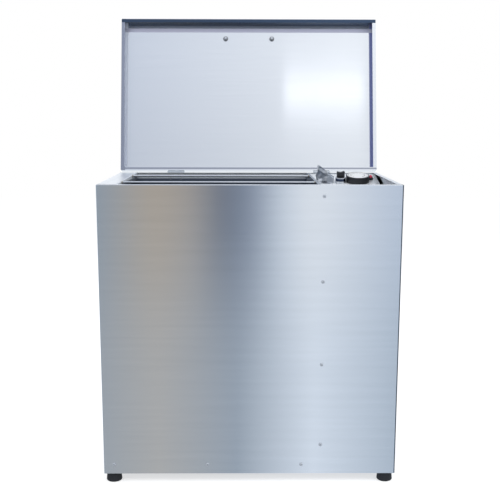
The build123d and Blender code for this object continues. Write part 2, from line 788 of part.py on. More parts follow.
with BuildPart() as thermostat_dial:
    dial_centre = deck_plane.from_local_coords(Vector(dial_place[0], dial_place[1], dial_base))
    with BuildSketch(Plane(origin=dial_centre, x_dir=(1, 0, 0), z_dir=-deck_plane.y_dir)):
        with BuildLine():
            r = dial_diameter / 2
            shoulder = (r - dial_draft, dial_height - dial_round)
            crown = (r - dial_draft - 0.9 * dial_round, dial_height)
            Polyline((0, 0), (r - dial_chamfer, 0), (r, dial_chamfer), shoulder)
            rounding = (r - dial_draft - 0.25 * dial_round, dial_height - 0.3 * dial_round)
            ThreePointArc(shoulder, rounding, crown)
            Polyline(crown, (dial_face_radius + hole_gap, dial_height),
                     (dial_face_radius + hole_gap, dial_height - face_recess), (0, dial_height - face_recess),
                     (0, 0))
        make_face()
    revolve(axis=Axis(dial_centre, deck_plane.z_dir))
    with BuildSketch(deck_plane.offset(dial_base)):
        with Locations(dial_place):
            Circle(shaft_6 / 2)
    extrude(amount=shaft_out, mode=Mode.SUBTRACT)
save("thermostat_dial", thermostat_dial.part)

with BuildPart() as dial_face:
    with BuildSketch(deck_plane.offset(dial_base + dial_height - face_recess)):
        with Locations(dial_place):
            Circle(dial_face_radius)
    extrude(amount=face_sheet)
save("dial_face", dial_face.part)

# Capillary from the thermostat through the partition, with its bulb on the chamber side
bulb_x = partition_x - bulb_offset
capsule_bottom = stat_bottom - capsule_height
stat_under = deck_plane.from_local_coords(Vector(dial_place[0], dial_place[1], capsule_bottom - seam))
with BuildPart() as capillary_tube:
    with BuildLine() as capillary_path:
        FilletPolyline((stat_under.X, stat_under.Y, stat_under.Z), (stat_under.X, stat_under.Y, capillary_z),
                       (stat_under.X, bulb_y, capillary_z), (bulb_x, bulb_y, capillary_z),
                       (bulb_x, bulb_y, bulb_z + bulb_length / 2), radius=capillary_bend)
    with BuildSketch(Plane(origin=capillary_path.line @ 0, z_dir=capillary_path.line % 0)):
        Circle(capillary / 2)
    sweep()
save("capillary_tube", capillary_tube.part)

with BuildPart() as sensor_bulb:
    with Locations((bulb_x, bulb_y, bulb_z)):
        Cylinder(bulb_diameter / 2, bulb_length)
    fillet(sensor_bulb.edges(), radius=bulb_round)
save("sensor_bulb", sensor_bulb.part)

# Clips that hold the bulb off the partition
with BuildPart() as bulb_clips:
    for z in (bulb_z - bulb_length / 4, bulb_z + bulb_length / 4):
        with BuildSketch(Plane.XY.offset(z - clip_width / 2)):
            with BuildLine():
                r = bulb_diameter / 2 + running_gap
                way_x = cos(radians(clip_mouth))
                way_y = sin(radians(clip_mouth))
                CenterArc((bulb_x, bulb_y), r, clip_mouth, 360 - 2 * clip_mouth)
                CenterArc((bulb_x, bulb_y), r + clip_sheet, clip_mouth, 360 - 2 * clip_mouth)
                Line((bulb_x + r * way_x, bulb_y + r * way_y),
                     (bulb_x + (r + clip_sheet) * way_x, bulb_y + (r + clip_sheet) * way_y))
                Line((bulb_x + r * way_x, bulb_y - r * way_y),
                     (bulb_x + (r + clip_sheet) * way_x, bulb_y - (r + clip_sheet) * way_y))
            make_face()
            clip_y = bulb_y + bulb_diameter / 2
            with Locations(((bulb_x + partition_x) / 2 + 1.0, clip_y + 0.75 * clip_sheet)):
                Rectangle(partition_x - bulb_x - 2.0, clip_sheet)
            with Locations((partition_x - clip_sheet / 2, clip_y + clip_foot / 2)):
                Rectangle(clip_sheet, clip_foot)
        extrude(amount=clip_width)
save("bulb_clips", bulb_clips.part)

# Selector switch: a metal bezel on the deck, its body below and the lever knob that turns in it
knob_hole = bezel_diameter / 2 - bezel_wall
with BuildPart() as selector_bezel:
    bezel_base = deck_plane.from_local_coords(Vector(selector_place[0], selector_place[1], 0))
    with BuildSketch(Plane(origin=bezel_base, x_dir=(1, 0, 0), z_dir=-deck_plane.y_dir)):
        with BuildLine():
            r = bezel_diameter / 2
            shoulder = (r - bezel_draft, bezel_height - 1.5)
            Polyline((knob_hole, -selector_barrel_length), (selector_barrel / 2, -selector_barrel_length),
                     (selector_barrel / 2, 0), (r, 0), (r, 2.0), (r - bezel_draft, 2.4), shoulder)
            ThreePointArc(shoulder, (r - bezel_round / 2, bezel_height - 0.4),
                          (r - bezel_round, bezel_height))
            Polyline((r - bezel_round, bezel_height), (knob_hole, bezel_height),
                     (knob_hole, -selector_barrel_length))
        make_face()
    revolve(axis=Axis(bezel_base, deck_plane.z_dir))
save("selector_bezel", selector_bezel.part)

knob_radius = knob_hole - seam
with BuildPart() as selector_knob:
    with BuildSketch(deck_plane.offset(-selector_barrel_length + 4.0)):
        with Locations(selector_place):
            Circle(knob_radius - 3.0)
    extrude(amount=selector_barrel_length - 4.0 + bezel_height)
    with BuildSketch(deck_plane.offset(bezel_height - 4.0)):
        with Locations(selector_place):
            Circle(knob_radius)
    extrude(amount=5.5)
    with BuildSketch(Plane(origin=deck_plane.from_local_coords(Vector(*selector_place, bezel_height + 1.5)),
                           x_dir=(1, 0, 0), z_dir=-deck_plane.y_dir)):
        with BuildLine():
            w = knob_radius - 0.4
            Polyline((-w, -1.0), (-w - 0.2, lever_height - 4.0), (-w + 1.5, lever_height - 2.5))
            ThreePointArc((-w + 1.5, lever_height - 2.5), (0, lever_height - 4.0),
                          (w - 1.5, lever_height - 1.5))
            Polyline((w - 1.5, lever_height - 1.5), (w + 0.2, lever_height - 3.0), (w, -1.0), (-w, -1.0))
        make_face()
    extrude(amount=lever_half, both=True)
save("selector_knob", selector_knob.part)

with BuildPart() as selector_body:
    with BuildSketch(deck_plane.offset(-sheet)):
        with Locations(selector_place):
            RegularPolygon(selector_nut, 6, major_radius=False)
            Circle(selector_barrel / 2 + hole_gap, mode=Mode.SUBTRACT)
    extrude(amount=-selector_nut_height)
    neck_top = -sheet - selector_nut_height
    with BuildSketch(deck_plane.offset(neck_top)):
        with Locations(selector_place):
            Rectangle(selector_width, selector_depth)
            Circle(selector_barrel / 2 + hole_gap, mode=Mode.SUBTRACT)
    extrude(amount=-selector_neck)
    with BuildSketch(deck_plane.offset(neck_top - selector_neck)):
        with Locations(selector_place):
            Rectangle(selector_width, selector_depth)
    extrude(amount=-selector_block)
    with BuildSketch(deck_plane.offset(neck_top - selector_neck - selector_block)):
        with Locations(selector_place):
            with GridLocations(selector_width / 2, selector_depth - 1.5 * selector_tag, 2, 2):
                Rectangle(selector_tag, selector_tag)
    extrude(amount=-selector_tag_height)
save("selector_body", selector_body.part)

# Pilot lamp: a black bezel with a red lens, and its nut under the deck
pilot_base = deck_plane.from_local_coords(Vector(*pilot_place, 0))
pilot_section = Plane(origin=pilot_base, x_dir=(1, 0, 0), z_dir=-deck_plane.y_dir)
pilot_axis = Axis(pilot_base, deck_plane.z_dir)
lens_radius = pilot_diameter / 2 - lens_wall
dome_radius = (lens_radius ** 2 + lens_rise ** 2) / (2 * lens_rise)
dome_centre = lens_shoulder + lens_rise - dome_radius
with BuildPart() as pilot_lamp:
    with BuildSketch(pilot_section):
        with BuildLine():
            r = pilot_diameter / 2
            Polyline((0, -pilot_length), (lamp_barrel / 2, -pilot_length), (lamp_barrel / 2, 0), (r, 0),
                     (r, pilot_collar - 1.0), (r - 0.8, pilot_collar), (lens_radius + hole_gap, pilot_collar),
                     (lens_radius + hole_gap, lens_seat), (0, lens_seat), (0, -pilot_length))
        make_face()
    revolve(axis=pilot_axis)
save("pilot_lamp", pilot_lamp.part)

with BuildPart() as pilot_lens:
    with BuildSketch(pilot_section):
        with BuildLine():
            Polyline((0, lens_seat), (lens_radius, lens_seat), (lens_radius, lens_shoulder))
            dome_mid = (dome_radius * cos(pi / 4), dome_centre + dome_radius * sin(pi / 4))
            ThreePointArc((lens_radius, lens_shoulder), dome_mid, (0, lens_shoulder + lens_rise))
            Line((0, lens_shoulder + lens_rise), (0, lens_seat))
        make_face()
    revolve(axis=pilot_axis)
save("pilot_lens", pilot_lens.part)

with BuildPart() as pilot_nut:
    with BuildSketch(deck_plane.offset(-sheet)):
        with Locations(pilot_place):
            RegularPolygon(pilot_nut_flat, 6, major_radius=False)
            Circle(lamp_barrel / 2 + hole_gap, mode=Mode.SUBTRACT)
    extrude(amount=-pilot_nut_height)
save("pilot_nut", pilot_nut.part)

# Air deflector: a rolled sheet blade with a slanting top edge, on a foot screwed to the deck
deflector_low = deflector_x - deflector_width / 2
deflector_high = deflector_x + deflector_width / 2
deck_z_there = rim - deck_drop - (deck_rear_y - deflector_y) * tan(slope)
with BuildPart() as air_deflector:
    with BuildSketch(Plane.XY.offset(deck_z_there - 8.0)):
        with BuildLine():
            ThreePointArc((deflector_low, deflector_y - 6.0), (deflector_x - 3.0, deflector_y + 9.0),
                          (deflector_high, deflector_y + 1.0))
            offset(amount=blade_sheet, side=Side.LEFT)
        make_face()
    extrude(amount=deflector_height + 8.0)
    with BuildSketch(Plane.XZ.offset(-deflector_y - cut_reach)):
        with BuildLine():
            z = deck_z_there
            Polyline((deflector_low + 10.0, z - 20.0), (deflector_low, z + 20.0),
                     (deflector_low + 5.0, z + 27.0),
                     (deflector_low + 4.0, z + deflector_height), (deflector_low + 9.0, z + deflector_height),
                     (deflector_high, z + deflector_height * 0.38), (deflector_high - 3.0, z - 20.0),
                     (deflector_low + 10.0, z - 20.0))
        make_face()
    extrude(amount=2 * cut_reach, mode=Mode.INTERSECT)
    with BuildSketch(deck_plane):
        with Locations((deflector_place[0] + 2.0, deflector_place[1] + 8.0)):
            Rectangle(deflector_width - 14.0, foot_depth)
    extrude(amount=blade_sheet)
    with BuildSketch(deck_plane):
        with Locations(deflector_place):
            Rectangle(3 * cut_reach, 3 * cut_reach)
    extrude(amount=-cut_reach, mode=Mode.SUBTRACT)
save("air_deflector", air_deflector.part)

# Blower: a scroll drawn with three arcs about a small square, on a channel, with its wheel and motor
scroll_centre_z = outlet_low + scroll_step / 2 + scroll_radius + 2 * scroll_step
half_step = scroll_step / 2
scroll_left = half_step - scroll_radius
outlet_run = partition_x + sheet + seam - blower_x
scroll_bottom = outlet_low - scroll_centre_z
scroll_plane = Plane(origin=(blower_x, outlet_half, scroll_centre_z), x_dir=(1, 0, 0), z_dir=(0, -1, 0))
with BuildPart() as blower_housing:
    with BuildSketch(scroll_plane):
        with BuildLine():
            top = half_step + scroll_radius
            far = half_step + scroll_radius + scroll_step
            ThreePointArc((scroll_left, half_step),
                          (half_step - scroll_radius * cos(pi / 4), half_step + scroll_radius * sin(pi / 4)),
                          (half_step, top))
            r = scroll_radius + scroll_step
            ThreePointArc((half_step, top), (half_step + r * cos(pi / 4), r * sin(pi / 4) - half_step),
                          (far, -half_step))
            r = scroll_radius + 2 * scroll_step
            ThreePointArc((far, -half_step), (r * cos(pi / 4) - half_step, -half_step - r * sin(pi / 4)),
                          (-half_step, scroll_bottom))
            tongue_z = scroll_bottom + outlet_height
            Polyline((-half_step, scroll_bottom), (outlet_run, scroll_bottom), (outlet_run, tongue_z),
                     (-36.0, tongue_z))
            ThreePointArc((-36.0, tongue_z), (-0.96 * abs(scroll_left), -18.0), (scroll_left, half_step))
        make_face()
    extrude(amount=scroll_width)
    inner_opening = blower_housing.faces().sort_by(Axis.X)[0]
    offset(amount=-sheet, openings=inner_opening)
    with BuildSketch(scroll_plane.offset(scroll_width - 3 * sheet)):
        Circle(wheel_radius - 6.0)
    extrude(amount=6 * sheet, mode=Mode.SUBTRACT)
    with BuildSketch(scroll_plane.offset(scroll_width)):
        Circle(wheel_radius - 3.0)
        Circle(wheel_radius - 6.0, mode=Mode.SUBTRACT)
    extrude(amount=3.0)
    with BuildSketch(scroll_plane.offset(-sheet)):
        Circle(shaft_diameter / 2 + 3.0)
    extrude(amount=4 * sheet, mode=Mode.SUBTRACT)
save("blower_housing", blower_housing.part)

with BuildPart() as blower_wheel:
    with BuildSketch(scroll_plane.offset(wheel_gap)):
        Circle(wheel_radius)
        Circle(shaft_diameter / 2, mode=Mode.SUBTRACT)
    extrude(amount=wheel_side)
    with BuildSketch(scroll_plane.offset(wheel_gap + wheel_width - wheel_side)):
        Circle(wheel_radius)
        Circle(wheel_radius - blade_chord, mode=Mode.SUBTRACT)
    extrude(amount=wheel_side)
    with BuildSketch(scroll_plane.offset(wheel_gap)):
        Circle(shaft_diameter / 2 + hub_wall)
        Circle(shaft_diameter / 2, mode=Mode.SUBTRACT)
    extrude(amount=hub_length)
    with BuildSketch(scroll_plane.offset(wheel_gap + 1.0)):
        with PolarLocations(0, blade_count):
            with BuildLine():
                inner = wheel_radius - blade_chord + 0.4
                outer = wheel_radius - 0.2
                Line((inner, 0), (inner, 1.0))
                ThreePointArc((inner, 1.0), ((inner + outer) / 2, 3.4), (outer, 3.2))
                Line((outer, 3.2), (outer, 2.2))
                ThreePointArc((outer, 2.2), ((inner + outer) / 2, 2.2), (inner, 0))
            make_face()
    extrude(amount=wheel_width - 2.0)
save("blower_wheel", blower_wheel.part)

with BuildPart() as blower_shaft:
    with BuildSketch(scroll_plane.offset(-shaft_back)):
        Circle(shaft_diameter / 2)
    extrude(amount=shaft_back + shaft_front)
save("blower_shaft", blower_shaft.part)

with BuildPart() as blower_motor:
    with BuildSketch(scroll_plane):
        Circle(motor_diameter / 2 + 6.0)
        Circle(shaft_diameter / 2 + 1.0, mode=Mode.SUBTRACT)
    extrude(amount=-motor_face)
    with BuildSketch(scroll_plane.offset(-motor_face)):
        Circle(motor_diameter / 2)
        Circle(shaft_diameter / 2 + running_gap, mode=Mode.SUBTRACT)
    extrude(amount=-motor_collar)
    with BuildSketch(scroll_plane.offset(-motor_face - motor_collar)):
        Circle(motor_diameter / 2)
    extrude(amount=motor_face + motor_collar - motor_length)
    fillet(blower_motor.edges().filter_by(GeomType.CIRCLE).sort_by(Axis.Y)[-1], radius=motor_round)
    with BuildSketch(scroll_plane.offset(-motor_length + 6.0)):
        with PolarLocations(0, motor_slots):
            with Locations((motor_diameter / 2 - 9.0, 0)):
                SlotOverall(9.0, 2.5)
    extrude(amount=-8.0, mode=Mode.SUBTRACT)
save("blower_motor", blower_motor.part)

# Channel that the scroll stands on
with BuildPart() as blower_stand_channel:
    block((blower_x - stand_rear, blower_x + stand_front), (-outlet_half, outlet_half),
          (floor_top, outlet_low))
    block((blower_x - stand_rear - sheet, blower_x + stand_front + sheet),
          (-outlet_half + stand_flange, outlet_half - stand_flange),
          (floor_top - sheet, outlet_low - sheet), Mode.SUBTRACT)
save("blower_stand", blower_stand_channel.part)

# Heater: one tube bent to a U in the plenum, with bushes at the partition and a bracket near its bend
heater_end = partition_x + heater_tail
bend_x = partition_x - heater_reach + heater_half_pitch
with BuildPart() as heater_element:
    with BuildLine() as heater_path:
        Line((heater_end, -heater_half_pitch, heater_z), (bend_x, -heater_half_pitch, heater_z))
        ThreePointArc((bend_x, -heater_half_pitch, heater_z), (bend_x - heater_half_pitch, 0, heater_z),
                      (bend_x, heater_half_pitch, heater_z))
        Line((bend_x, heater_half_pitch, heater_z), (heater_end, heater_half_pitch, heater_z))
    with BuildSketch(Plane(origin=heater_path.line @ 0, z_dir=heater_path.line % 0)):
        Circle(heater_diameter / 2)
    sweep()
    for side in (-1, 1):
        terminal_x = heater_end + terminal_length / 2
        with Locations(Location((terminal_x, side * heater_half_pitch, heater_z), (0, 90, 0))):
            Cylinder(terminal_radius, terminal_length)
save("heater_element", heater_element.part)

with BuildPart() as heater_bushes:
    for side in (-1, 1):
        with BuildSketch(Plane.YZ.offset(partition_x - bush_flange)):
            with Locations((side * heater_half_pitch, heater_z)):
                Circle(bush_diameter / 2 + bush_flange)
                Circle(heater_diameter / 2 + hole_gap, mode=Mode.SUBTRACT)
        extrude(amount=bush_flange)
        with BuildSketch(Plane.YZ.offset(partition_x)):
            with Locations((side * heater_half_pitch, heater_z)):
                Circle(bush_diameter / 2 - hole_gap)
                Circle(heater_diameter / 2 + hole_gap, mode=Mode.SUBTRACT)
        extrude(amount=sheet)
        with BuildSketch(Plane.YZ.offset(partition_x + sheet)):
            with Locations((side * heater_half_pitch, heater_z)):
                RegularPolygon(bush_nut, 6, major_radius=False)
                Circle(heater_diameter / 2 + hole_gap, mode=Mode.SUBTRACT)
        extrude(amount=bush_nut_height)
save("heater_bushes", heater_bushes.part)

bracket_x = partition_x - heater_reach * 0.75
with BuildPart() as heater_bracket:
    bracket_y = (-heater_half_pitch - bracket_end, heater_half_pitch + bracket_end)
    block((bracket_x, bracket_x + bracket_sheet), bracket_y, (floor_top, heater_z + heater_diameter))
    block((bracket_x, bracket_x + bracket_foot), bracket_y, (floor_top, floor_top + bracket_sheet))
    drill([(bracket_x, side * heater_half_pitch, heater_z) for side in (-1, 1)], (1, 0, 0),
          heater_diameter + 2 * hole_gap, 8.0)
save("heater_bracket", heater_bracket.part)

# Terminal block on the rear panel and the mains gland
block_z = bottom + block_height
with BuildPart() as terminal_block:
    block((louvre_x - block_half_length, louvre_x + block_half_length), (side_rear - block_depth, side_rear),
          (block_z - block_half_height, block_z + block_half_height))
    with BuildSketch(Plane.XZ.offset(-side_rear + block_depth)):
        with Locations((louvre_x, block_z)):
            with GridLocations(pole_pitch, 0, pole_count, 1):
                Circle(well_radius)
    extrude(amount=-well_depth, mode=Mode.SUBTRACT)
    with BuildSketch(Plane.XZ.offset(-side_rear + block_depth)):
        with Locations((louvre_x, block_z)):
            with GridLocations(pole_pitch, 0, pole_count + 1, 1):
                Rectangle(barrier, 2 * block_half_height)
    extrude(amount=barrier_height)
save("terminal_block", terminal_block.part)

gland_plane = Plane(origin=(gland_x, rear, gland_z), x_dir=(1, 0, 0), z_dir=(0, 1, 0))
with BuildPart() as mains_gland:
    with BuildSketch(gland_plane.offset(-gland_thread_length)):
        Circle(gland_thread / 2)
    extrude(amount=gland_thread_length)
    with BuildSketch(gland_plane):
        RegularPolygon(gland_flat, 6, major_radius=False)
    extrude(amount=gland_flange)
    with BuildSketch(gland_plane.offset(gland_flange)):
        Circle(gland_dome_radius)
    extrude(amount=gland_dome, taper=12)
    with BuildSketch(gland_plane.offset(-cut_reach)):
        Circle(gland_bore / 2)
    extrude(amount=2 * cut_reach, mode=Mode.SUBTRACT)
save("mains_gland", mains_gland.part)

with BuildPart() as gland_nut:
    with BuildSketch(gland_plane.offset(-sheet)):
        RegularPolygon(gland_flat, 6, major_radius=False)
        Circle(gland_thread / 2 + hole_gap, mode=Mode.SUBTRACT)
    extrude(amount=-gland_nut_height)
save("gland_nut", gland_nut.part)


def screws(places, outward):
    """Pan-head screws: each head stands on its place, and the stem runs inwards from it."""
    with BuildPart() as group:
        for place in places:
            with BuildSketch(Plane(origin=place, z_dir=outward)):
                Circle(screw_stem / 2)
            extrude(amount=-screw_length)
            with BuildSketch(Plane(origin=place, z_dir=outward)):
                Circle(screw_head / 2)
            extrude(amount=head_edge)
            with BuildSketch(Plane(origin=place, z_dir=outward).offset(head_edge)):
                Circle(screw_head / 2)
            extrude(amount=head_dome, taper=40)
    return group.part


# Screws, in groups by what they hold
save("partition_screws", screws([(flange_x, front, z) for z in front_screw_z], (0, -1, 0)))
save("base_screws", screws([(x, front, floor_screw_z) for x in floor_screw_x], (0, -1, 0)))
save("rear_panel_screws", screws([(x, rear, z) for x in rear_screw_x for z in rear_screw_z], (0, 1, 0)))
save("hinge_screws_body", screws([(x, rear + leaf, z) for x, y, z in body_leaf_screws], (0, 1, 0)))
lid_leaf_places = [tuple(lid_plane.from_local_coords(Vector(x + side, leaf_y[1], lid_leaf_screw_z)))
                   for x in hinge_centres for side in (-leaf_screw_x, leaf_screw_x)]
save("hinge_screws_lid", screws(lid_leaf_places, tuple(lid_plane.y_dir)))
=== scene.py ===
import json
import math
import bpy
import numpy as np
from mathutils import Matrix, Vector


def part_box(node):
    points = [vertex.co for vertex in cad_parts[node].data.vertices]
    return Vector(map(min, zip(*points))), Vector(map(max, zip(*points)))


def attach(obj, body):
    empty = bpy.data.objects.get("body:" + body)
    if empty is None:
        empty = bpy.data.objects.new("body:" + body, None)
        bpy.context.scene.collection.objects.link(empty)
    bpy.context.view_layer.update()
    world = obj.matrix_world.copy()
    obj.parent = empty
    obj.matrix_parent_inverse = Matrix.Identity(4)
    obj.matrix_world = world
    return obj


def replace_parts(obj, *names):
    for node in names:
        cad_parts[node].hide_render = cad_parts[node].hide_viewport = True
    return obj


# The looks of a film drying cabinet: a brushed stainless sheet cabinet with its lid open, two hanger rails
# over a dark chamber, and a sloping deck with a dial, a lever switch and a pilot lamp. Metres, +Z up, front
# at -Y.
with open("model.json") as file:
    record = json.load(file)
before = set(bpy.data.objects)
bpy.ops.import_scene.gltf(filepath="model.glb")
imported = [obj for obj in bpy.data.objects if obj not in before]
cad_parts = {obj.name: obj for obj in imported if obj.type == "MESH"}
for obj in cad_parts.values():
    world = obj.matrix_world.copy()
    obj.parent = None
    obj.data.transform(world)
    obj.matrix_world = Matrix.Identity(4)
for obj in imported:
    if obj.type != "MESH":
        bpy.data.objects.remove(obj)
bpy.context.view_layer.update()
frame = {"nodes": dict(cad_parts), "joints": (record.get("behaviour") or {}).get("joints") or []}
scene = bpy.context.scene

# Body panels: folded stainless steel sheet, 1.2 mm thick, with a satin grain rolled in along the sheet. The
# front, back and lid carry the grain from side to side, the two sides and the deck from front to back. The
# hems at the rim are folded over, so that their satin side shows on the inside too. Below them, the inside
# is painted darker, as shade.
MM = 0.001
sheet_thickness = 1.2 * MM
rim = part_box("front_panel")[1].z


def linear(hex_colour):
    """sRGB to linear: ((c + 0.055) / 1.055) to the power 2.4 above 0.04045, and c / 12.92 below it."""
    srgb = np.array([int(hex_colour[i:i + 2], 16) / 255 for i in (1, 3, 5)])
    rgb = np.where(srgb > 0.04045, ((srgb + 0.055) / 1.055) ** 2.4, srgb / 12.92)
    return (*rgb.tolist(), 1.0)


def add(tree, kind, settings=(), links=()):
    """Adds one node. Settings are values of its sockets or of its own options; links feed its sockets. The
    Scale of a pattern is its marks per millimetre, as n / MM. Where the real pattern is too fine to show,
    it is drawn as coarse as it needs to be."""
    node = tree.nodes.new(kind)
    for key, value in dict(settings).items():
        if isinstance(key, int) or key in node.inputs:
            node.inputs[key].default_value = value
        else:
            setattr(node, key, value)
    for key, source in dict(links).items():
        tree.links.new(source, node.inputs[key])
    return node


def new_finish(name, colour, roughness, metallic=0.0):
    """A material with its main shader; colour is the sRGB hex that shows where no pattern changes it."""
    finish = bpy.data.materials.new(name)
    finish.use_nodes = True
    shader = finish.node_tree.nodes["Principled BSDF"]
    shader.inputs["Base Color"].default_value = linear(colour)
    shader.inputs["Roughness"].default_value = roughness
    shader.inputs["Metallic"].default_value = metallic
    return finish, finish.node_tree, shader


def satin_sheet(name, pale, dark, roughness, grain, across, inside=(0, 0, 0), line=0.6 * MM, run=70 * MM,
                spread=0.95, skin=6 * MM, top_metal=0.55):
    """Satin stainless steel: long thin lines that catch the light across the grain. Real lines are 0.1 mm
    wide; they are drawn as wide as they need to show. The side that faces inside keeps its dull mill skin,
    from skin below the rim, and there its colour is painted dark, as shade. Faces that look up are rubbed
    paler, down to the metallic share top_metal."""
    finish, tree, shader = new_finish(name, pale, roughness, 1.0)
    place = add(tree, "ShaderNodeTexCoord")
    fine_scale = tuple(1 / run if along else 1 / line for along in grain)
    broad_scale = tuple(0.25 / run if along else 0.05 / line for along in grain)
    fine_place = add(tree, "ShaderNodeMapping", {"Scale": fine_scale}, {"Vector": place.outputs["Object"]})
    broad_place = add(tree, "ShaderNodeMapping", {"Scale": broad_scale},
                      {"Vector": place.outputs["Object"]})
    lines = add(tree, "ShaderNodeTexNoise", {"Scale": 1.0, "Detail": 3.0, "Roughness": 0.6},
                {"Vector": fine_place.outputs[0]})
    streaks = add(tree, "ShaderNodeTexNoise", {"Scale": 1.0, "Detail": 4.0, "Roughness": 0.55},
                  {"Vector": broad_place.outputs[0]})
    smudges = add(tree, "ShaderNodeTexNoise", {"Scale": 0.005 / MM, "Detail": 5.0, "Roughness": 0.6},
                  {"Vector": place.outputs["Object"]})
    both = add(tree, "ShaderNodeMath", {"operation": "MULTIPLY_ADD", 1: 0.6},
               {0: lines.outputs[0], 2: streaks.outputs[0]})
    tone = add(tree, "ShaderNodeMapRange", {"From Min": 0.55, "From Max": 1.05}, {0: both.outputs[0]})
    satin = add(tree, "ShaderNodeMix", {"data_type": "RGBA", 6: linear(dark), 7: linear(pale)},
                {0: tone.outputs[0]})
    facing = add(tree, "ShaderNodeVectorMath", {"operation": "DOT_PRODUCT", 1: inside},
                 {0: place.outputs["Normal"]})
    turned_in = add(tree, "ShaderNodeMapRange", {1: 0.5, 2: 0.8}, {0: facing.outputs["Value"]})
    height = add(tree, "ShaderNodeSeparateXYZ", {}, {0: place.outputs["Object"]})
    below_hem = add(tree, "ShaderNodeMapRange", {1: rim - skin, 2: rim - skin - 3 * MM},
                    {0: height.outputs[2]})
    inner_shade_and_skin = add(tree, "ShaderNodeMath", {"operation": "MULTIPLY"},
               {0: turned_in.outputs[0], 1: below_hem.outputs[0]})
    # Painted shade: inside faces below the hem are coloured dark blue-grey, for the shade in the cabinet.
    colour = add(tree, "ShaderNodeMix", {"data_type": "RGBA", 7: linear("#6C7686")},
                 {0: inner_shade_and_skin.outputs[0], 6: satin.outputs[2]})
    handled = add(tree, "ShaderNodeMath", {"operation": "MULTIPLY_ADD", 1: 0.04, 2: roughness - 0.03},
                  {0: smudges.outputs[0]})
    dull = add(tree, "ShaderNodeMath", {"operation": "MULTIPLY_ADD", 1: 0.2},
               {0: inner_shade_and_skin.outputs[0], 2: handled.outputs[0]})
    worn = add(tree, "ShaderNodeMath", {"operation": "MULTIPLY_ADD", 1: 0.02},
               {0: lines.outputs[0], 2: dull.outputs[0]})
    relief = add(tree, "ShaderNodeBump", {"Strength": 0.04, "Distance": 0.05 * MM},
                 {"Height": lines.outputs[0]})
    way = add(tree, "ShaderNodeCombineXYZ", dict(enumerate(across)))
    turned = add(tree, "ShaderNodeVectorTransform",
                 {"vector_type": "VECTOR", "convert_from": "OBJECT", "convert_to": "WORLD"},
                 {0: way.outputs[0]})
    upright = add(tree, "ShaderNodeSeparateXYZ", {}, {0: place.outputs["Normal"]})
    rubbed = add(tree, "ShaderNodeMapRange", {1: 0.3, 2: 0.9, 3: 1.0, 4: top_metal},
                 {0: upright.outputs[2]})
    shader.inputs["Anisotropic"].default_value = spread
    above_skin = add(tree, "ShaderNodeMath", {"operation": "SUBTRACT"},
                     {0: turned_in.outputs[0], 1: inner_shade_and_skin.outputs[0]})
    hem_metal = add(tree, "ShaderNodeMapRange", {3: 1.0, 4: 0.15}, {0: above_skin.outputs[0]})
    metal = add(tree, "ShaderNodeMath", {"operation": "MULTIPLY"},
                {0: rubbed.outputs[0], 1: hem_metal.outputs[0]})
    tree.links.new(metal.outputs[0], shader.inputs["Metallic"])
    tree.links.new(colour.outputs[2], shader.inputs["Base Color"])
    tree.links.new(worn.outputs[0], shader.inputs["Roughness"])
    tree.links.new(relief.outputs[0], shader.inputs["Normal"])
    tree.links.new(turned.outputs[0], shader.inputs["Tangent"])
    return finish


def dress(finish, *nodes):
    """Gives CAD nodes a finish by their material slots."""
    for node in nodes:
        mesh = frame["nodes"][node].data
        mesh.materials.clear()
        mesh.materials.append(finish)


along_x = (1, 0, 0)
along_y = (0, 1, 0)
up_front = (0.02, 0.1, 1.0)
up_side = (0.1, 0.02, 1.0)
front_steel = satin_sheet("satin_stainless_front", "#DEE3E9", "#D9DEE4", 0.18, along_x, up_front, (0, 1, 0))
rear_steel = satin_sheet("satin_stainless_rear", "#D9DFE5", "#CDD4DB", 0.30, along_x, up_front, (0, -1, 0),
                         skin=12 * MM)
left_steel = satin_sheet("satin_stainless_left", "#E0E5EB", "#D2D8DF", 0.30, along_y, up_side,
                         (1, 0, 0))
right_steel = satin_sheet("satin_stainless_right", "#E0E5EB", "#D2D8DF", 0.30, along_y, up_side)
chamber_steel = satin_sheet("satin_stainless_chamber", "#8F98A5", "#7C8593", 0.42, along_y, up_side,
                            spread=0.5)

# The front sheet's right bend turns away from the light; its shade is painted into the colour as a darker
# line.
bend_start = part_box("front_panel")[1].x - 3 * MM
tree = front_steel.node_tree
shader = tree.nodes["Principled BSDF"]
plain = shader.inputs["Base Color"].links[0].from_socket
place = add(tree, "ShaderNodeTexCoord")
apart = add(tree, "ShaderNodeSeparateXYZ", {}, {0: place.outputs["Object"]})
turned_edge = add(tree, "ShaderNodeMapRange", {1: bend_start, 2: bend_start + MM}, {0: apart.outputs[0]})
bend_painted_shade = add(tree, "ShaderNodeMix", {"data_type": "RGBA", 7: linear("#59626F")},
                {0: turned_edge.outputs[0], 6: plain})
tree.links.new(bend_painted_shade.outputs[2], shader.inputs["Base Color"])
dress(front_steel, "front_panel")
dress(rear_steel, "rear_panel")
dress(left_steel, "left_panel")
dress(right_steel, "right_panel")
dress(chamber_steel, "base_pan", "equipment_floor", "partition", "chamber_floor")

# Hanger rails: 5 mm bright drawn stainless bar, welded at each end between the left shelf and the
# partition. Drawing leaves faint lines along the bar, and each weld a small bead with a straw-coloured tint.
rails = ("hanger_rail_front", "hanger_rail_rear")


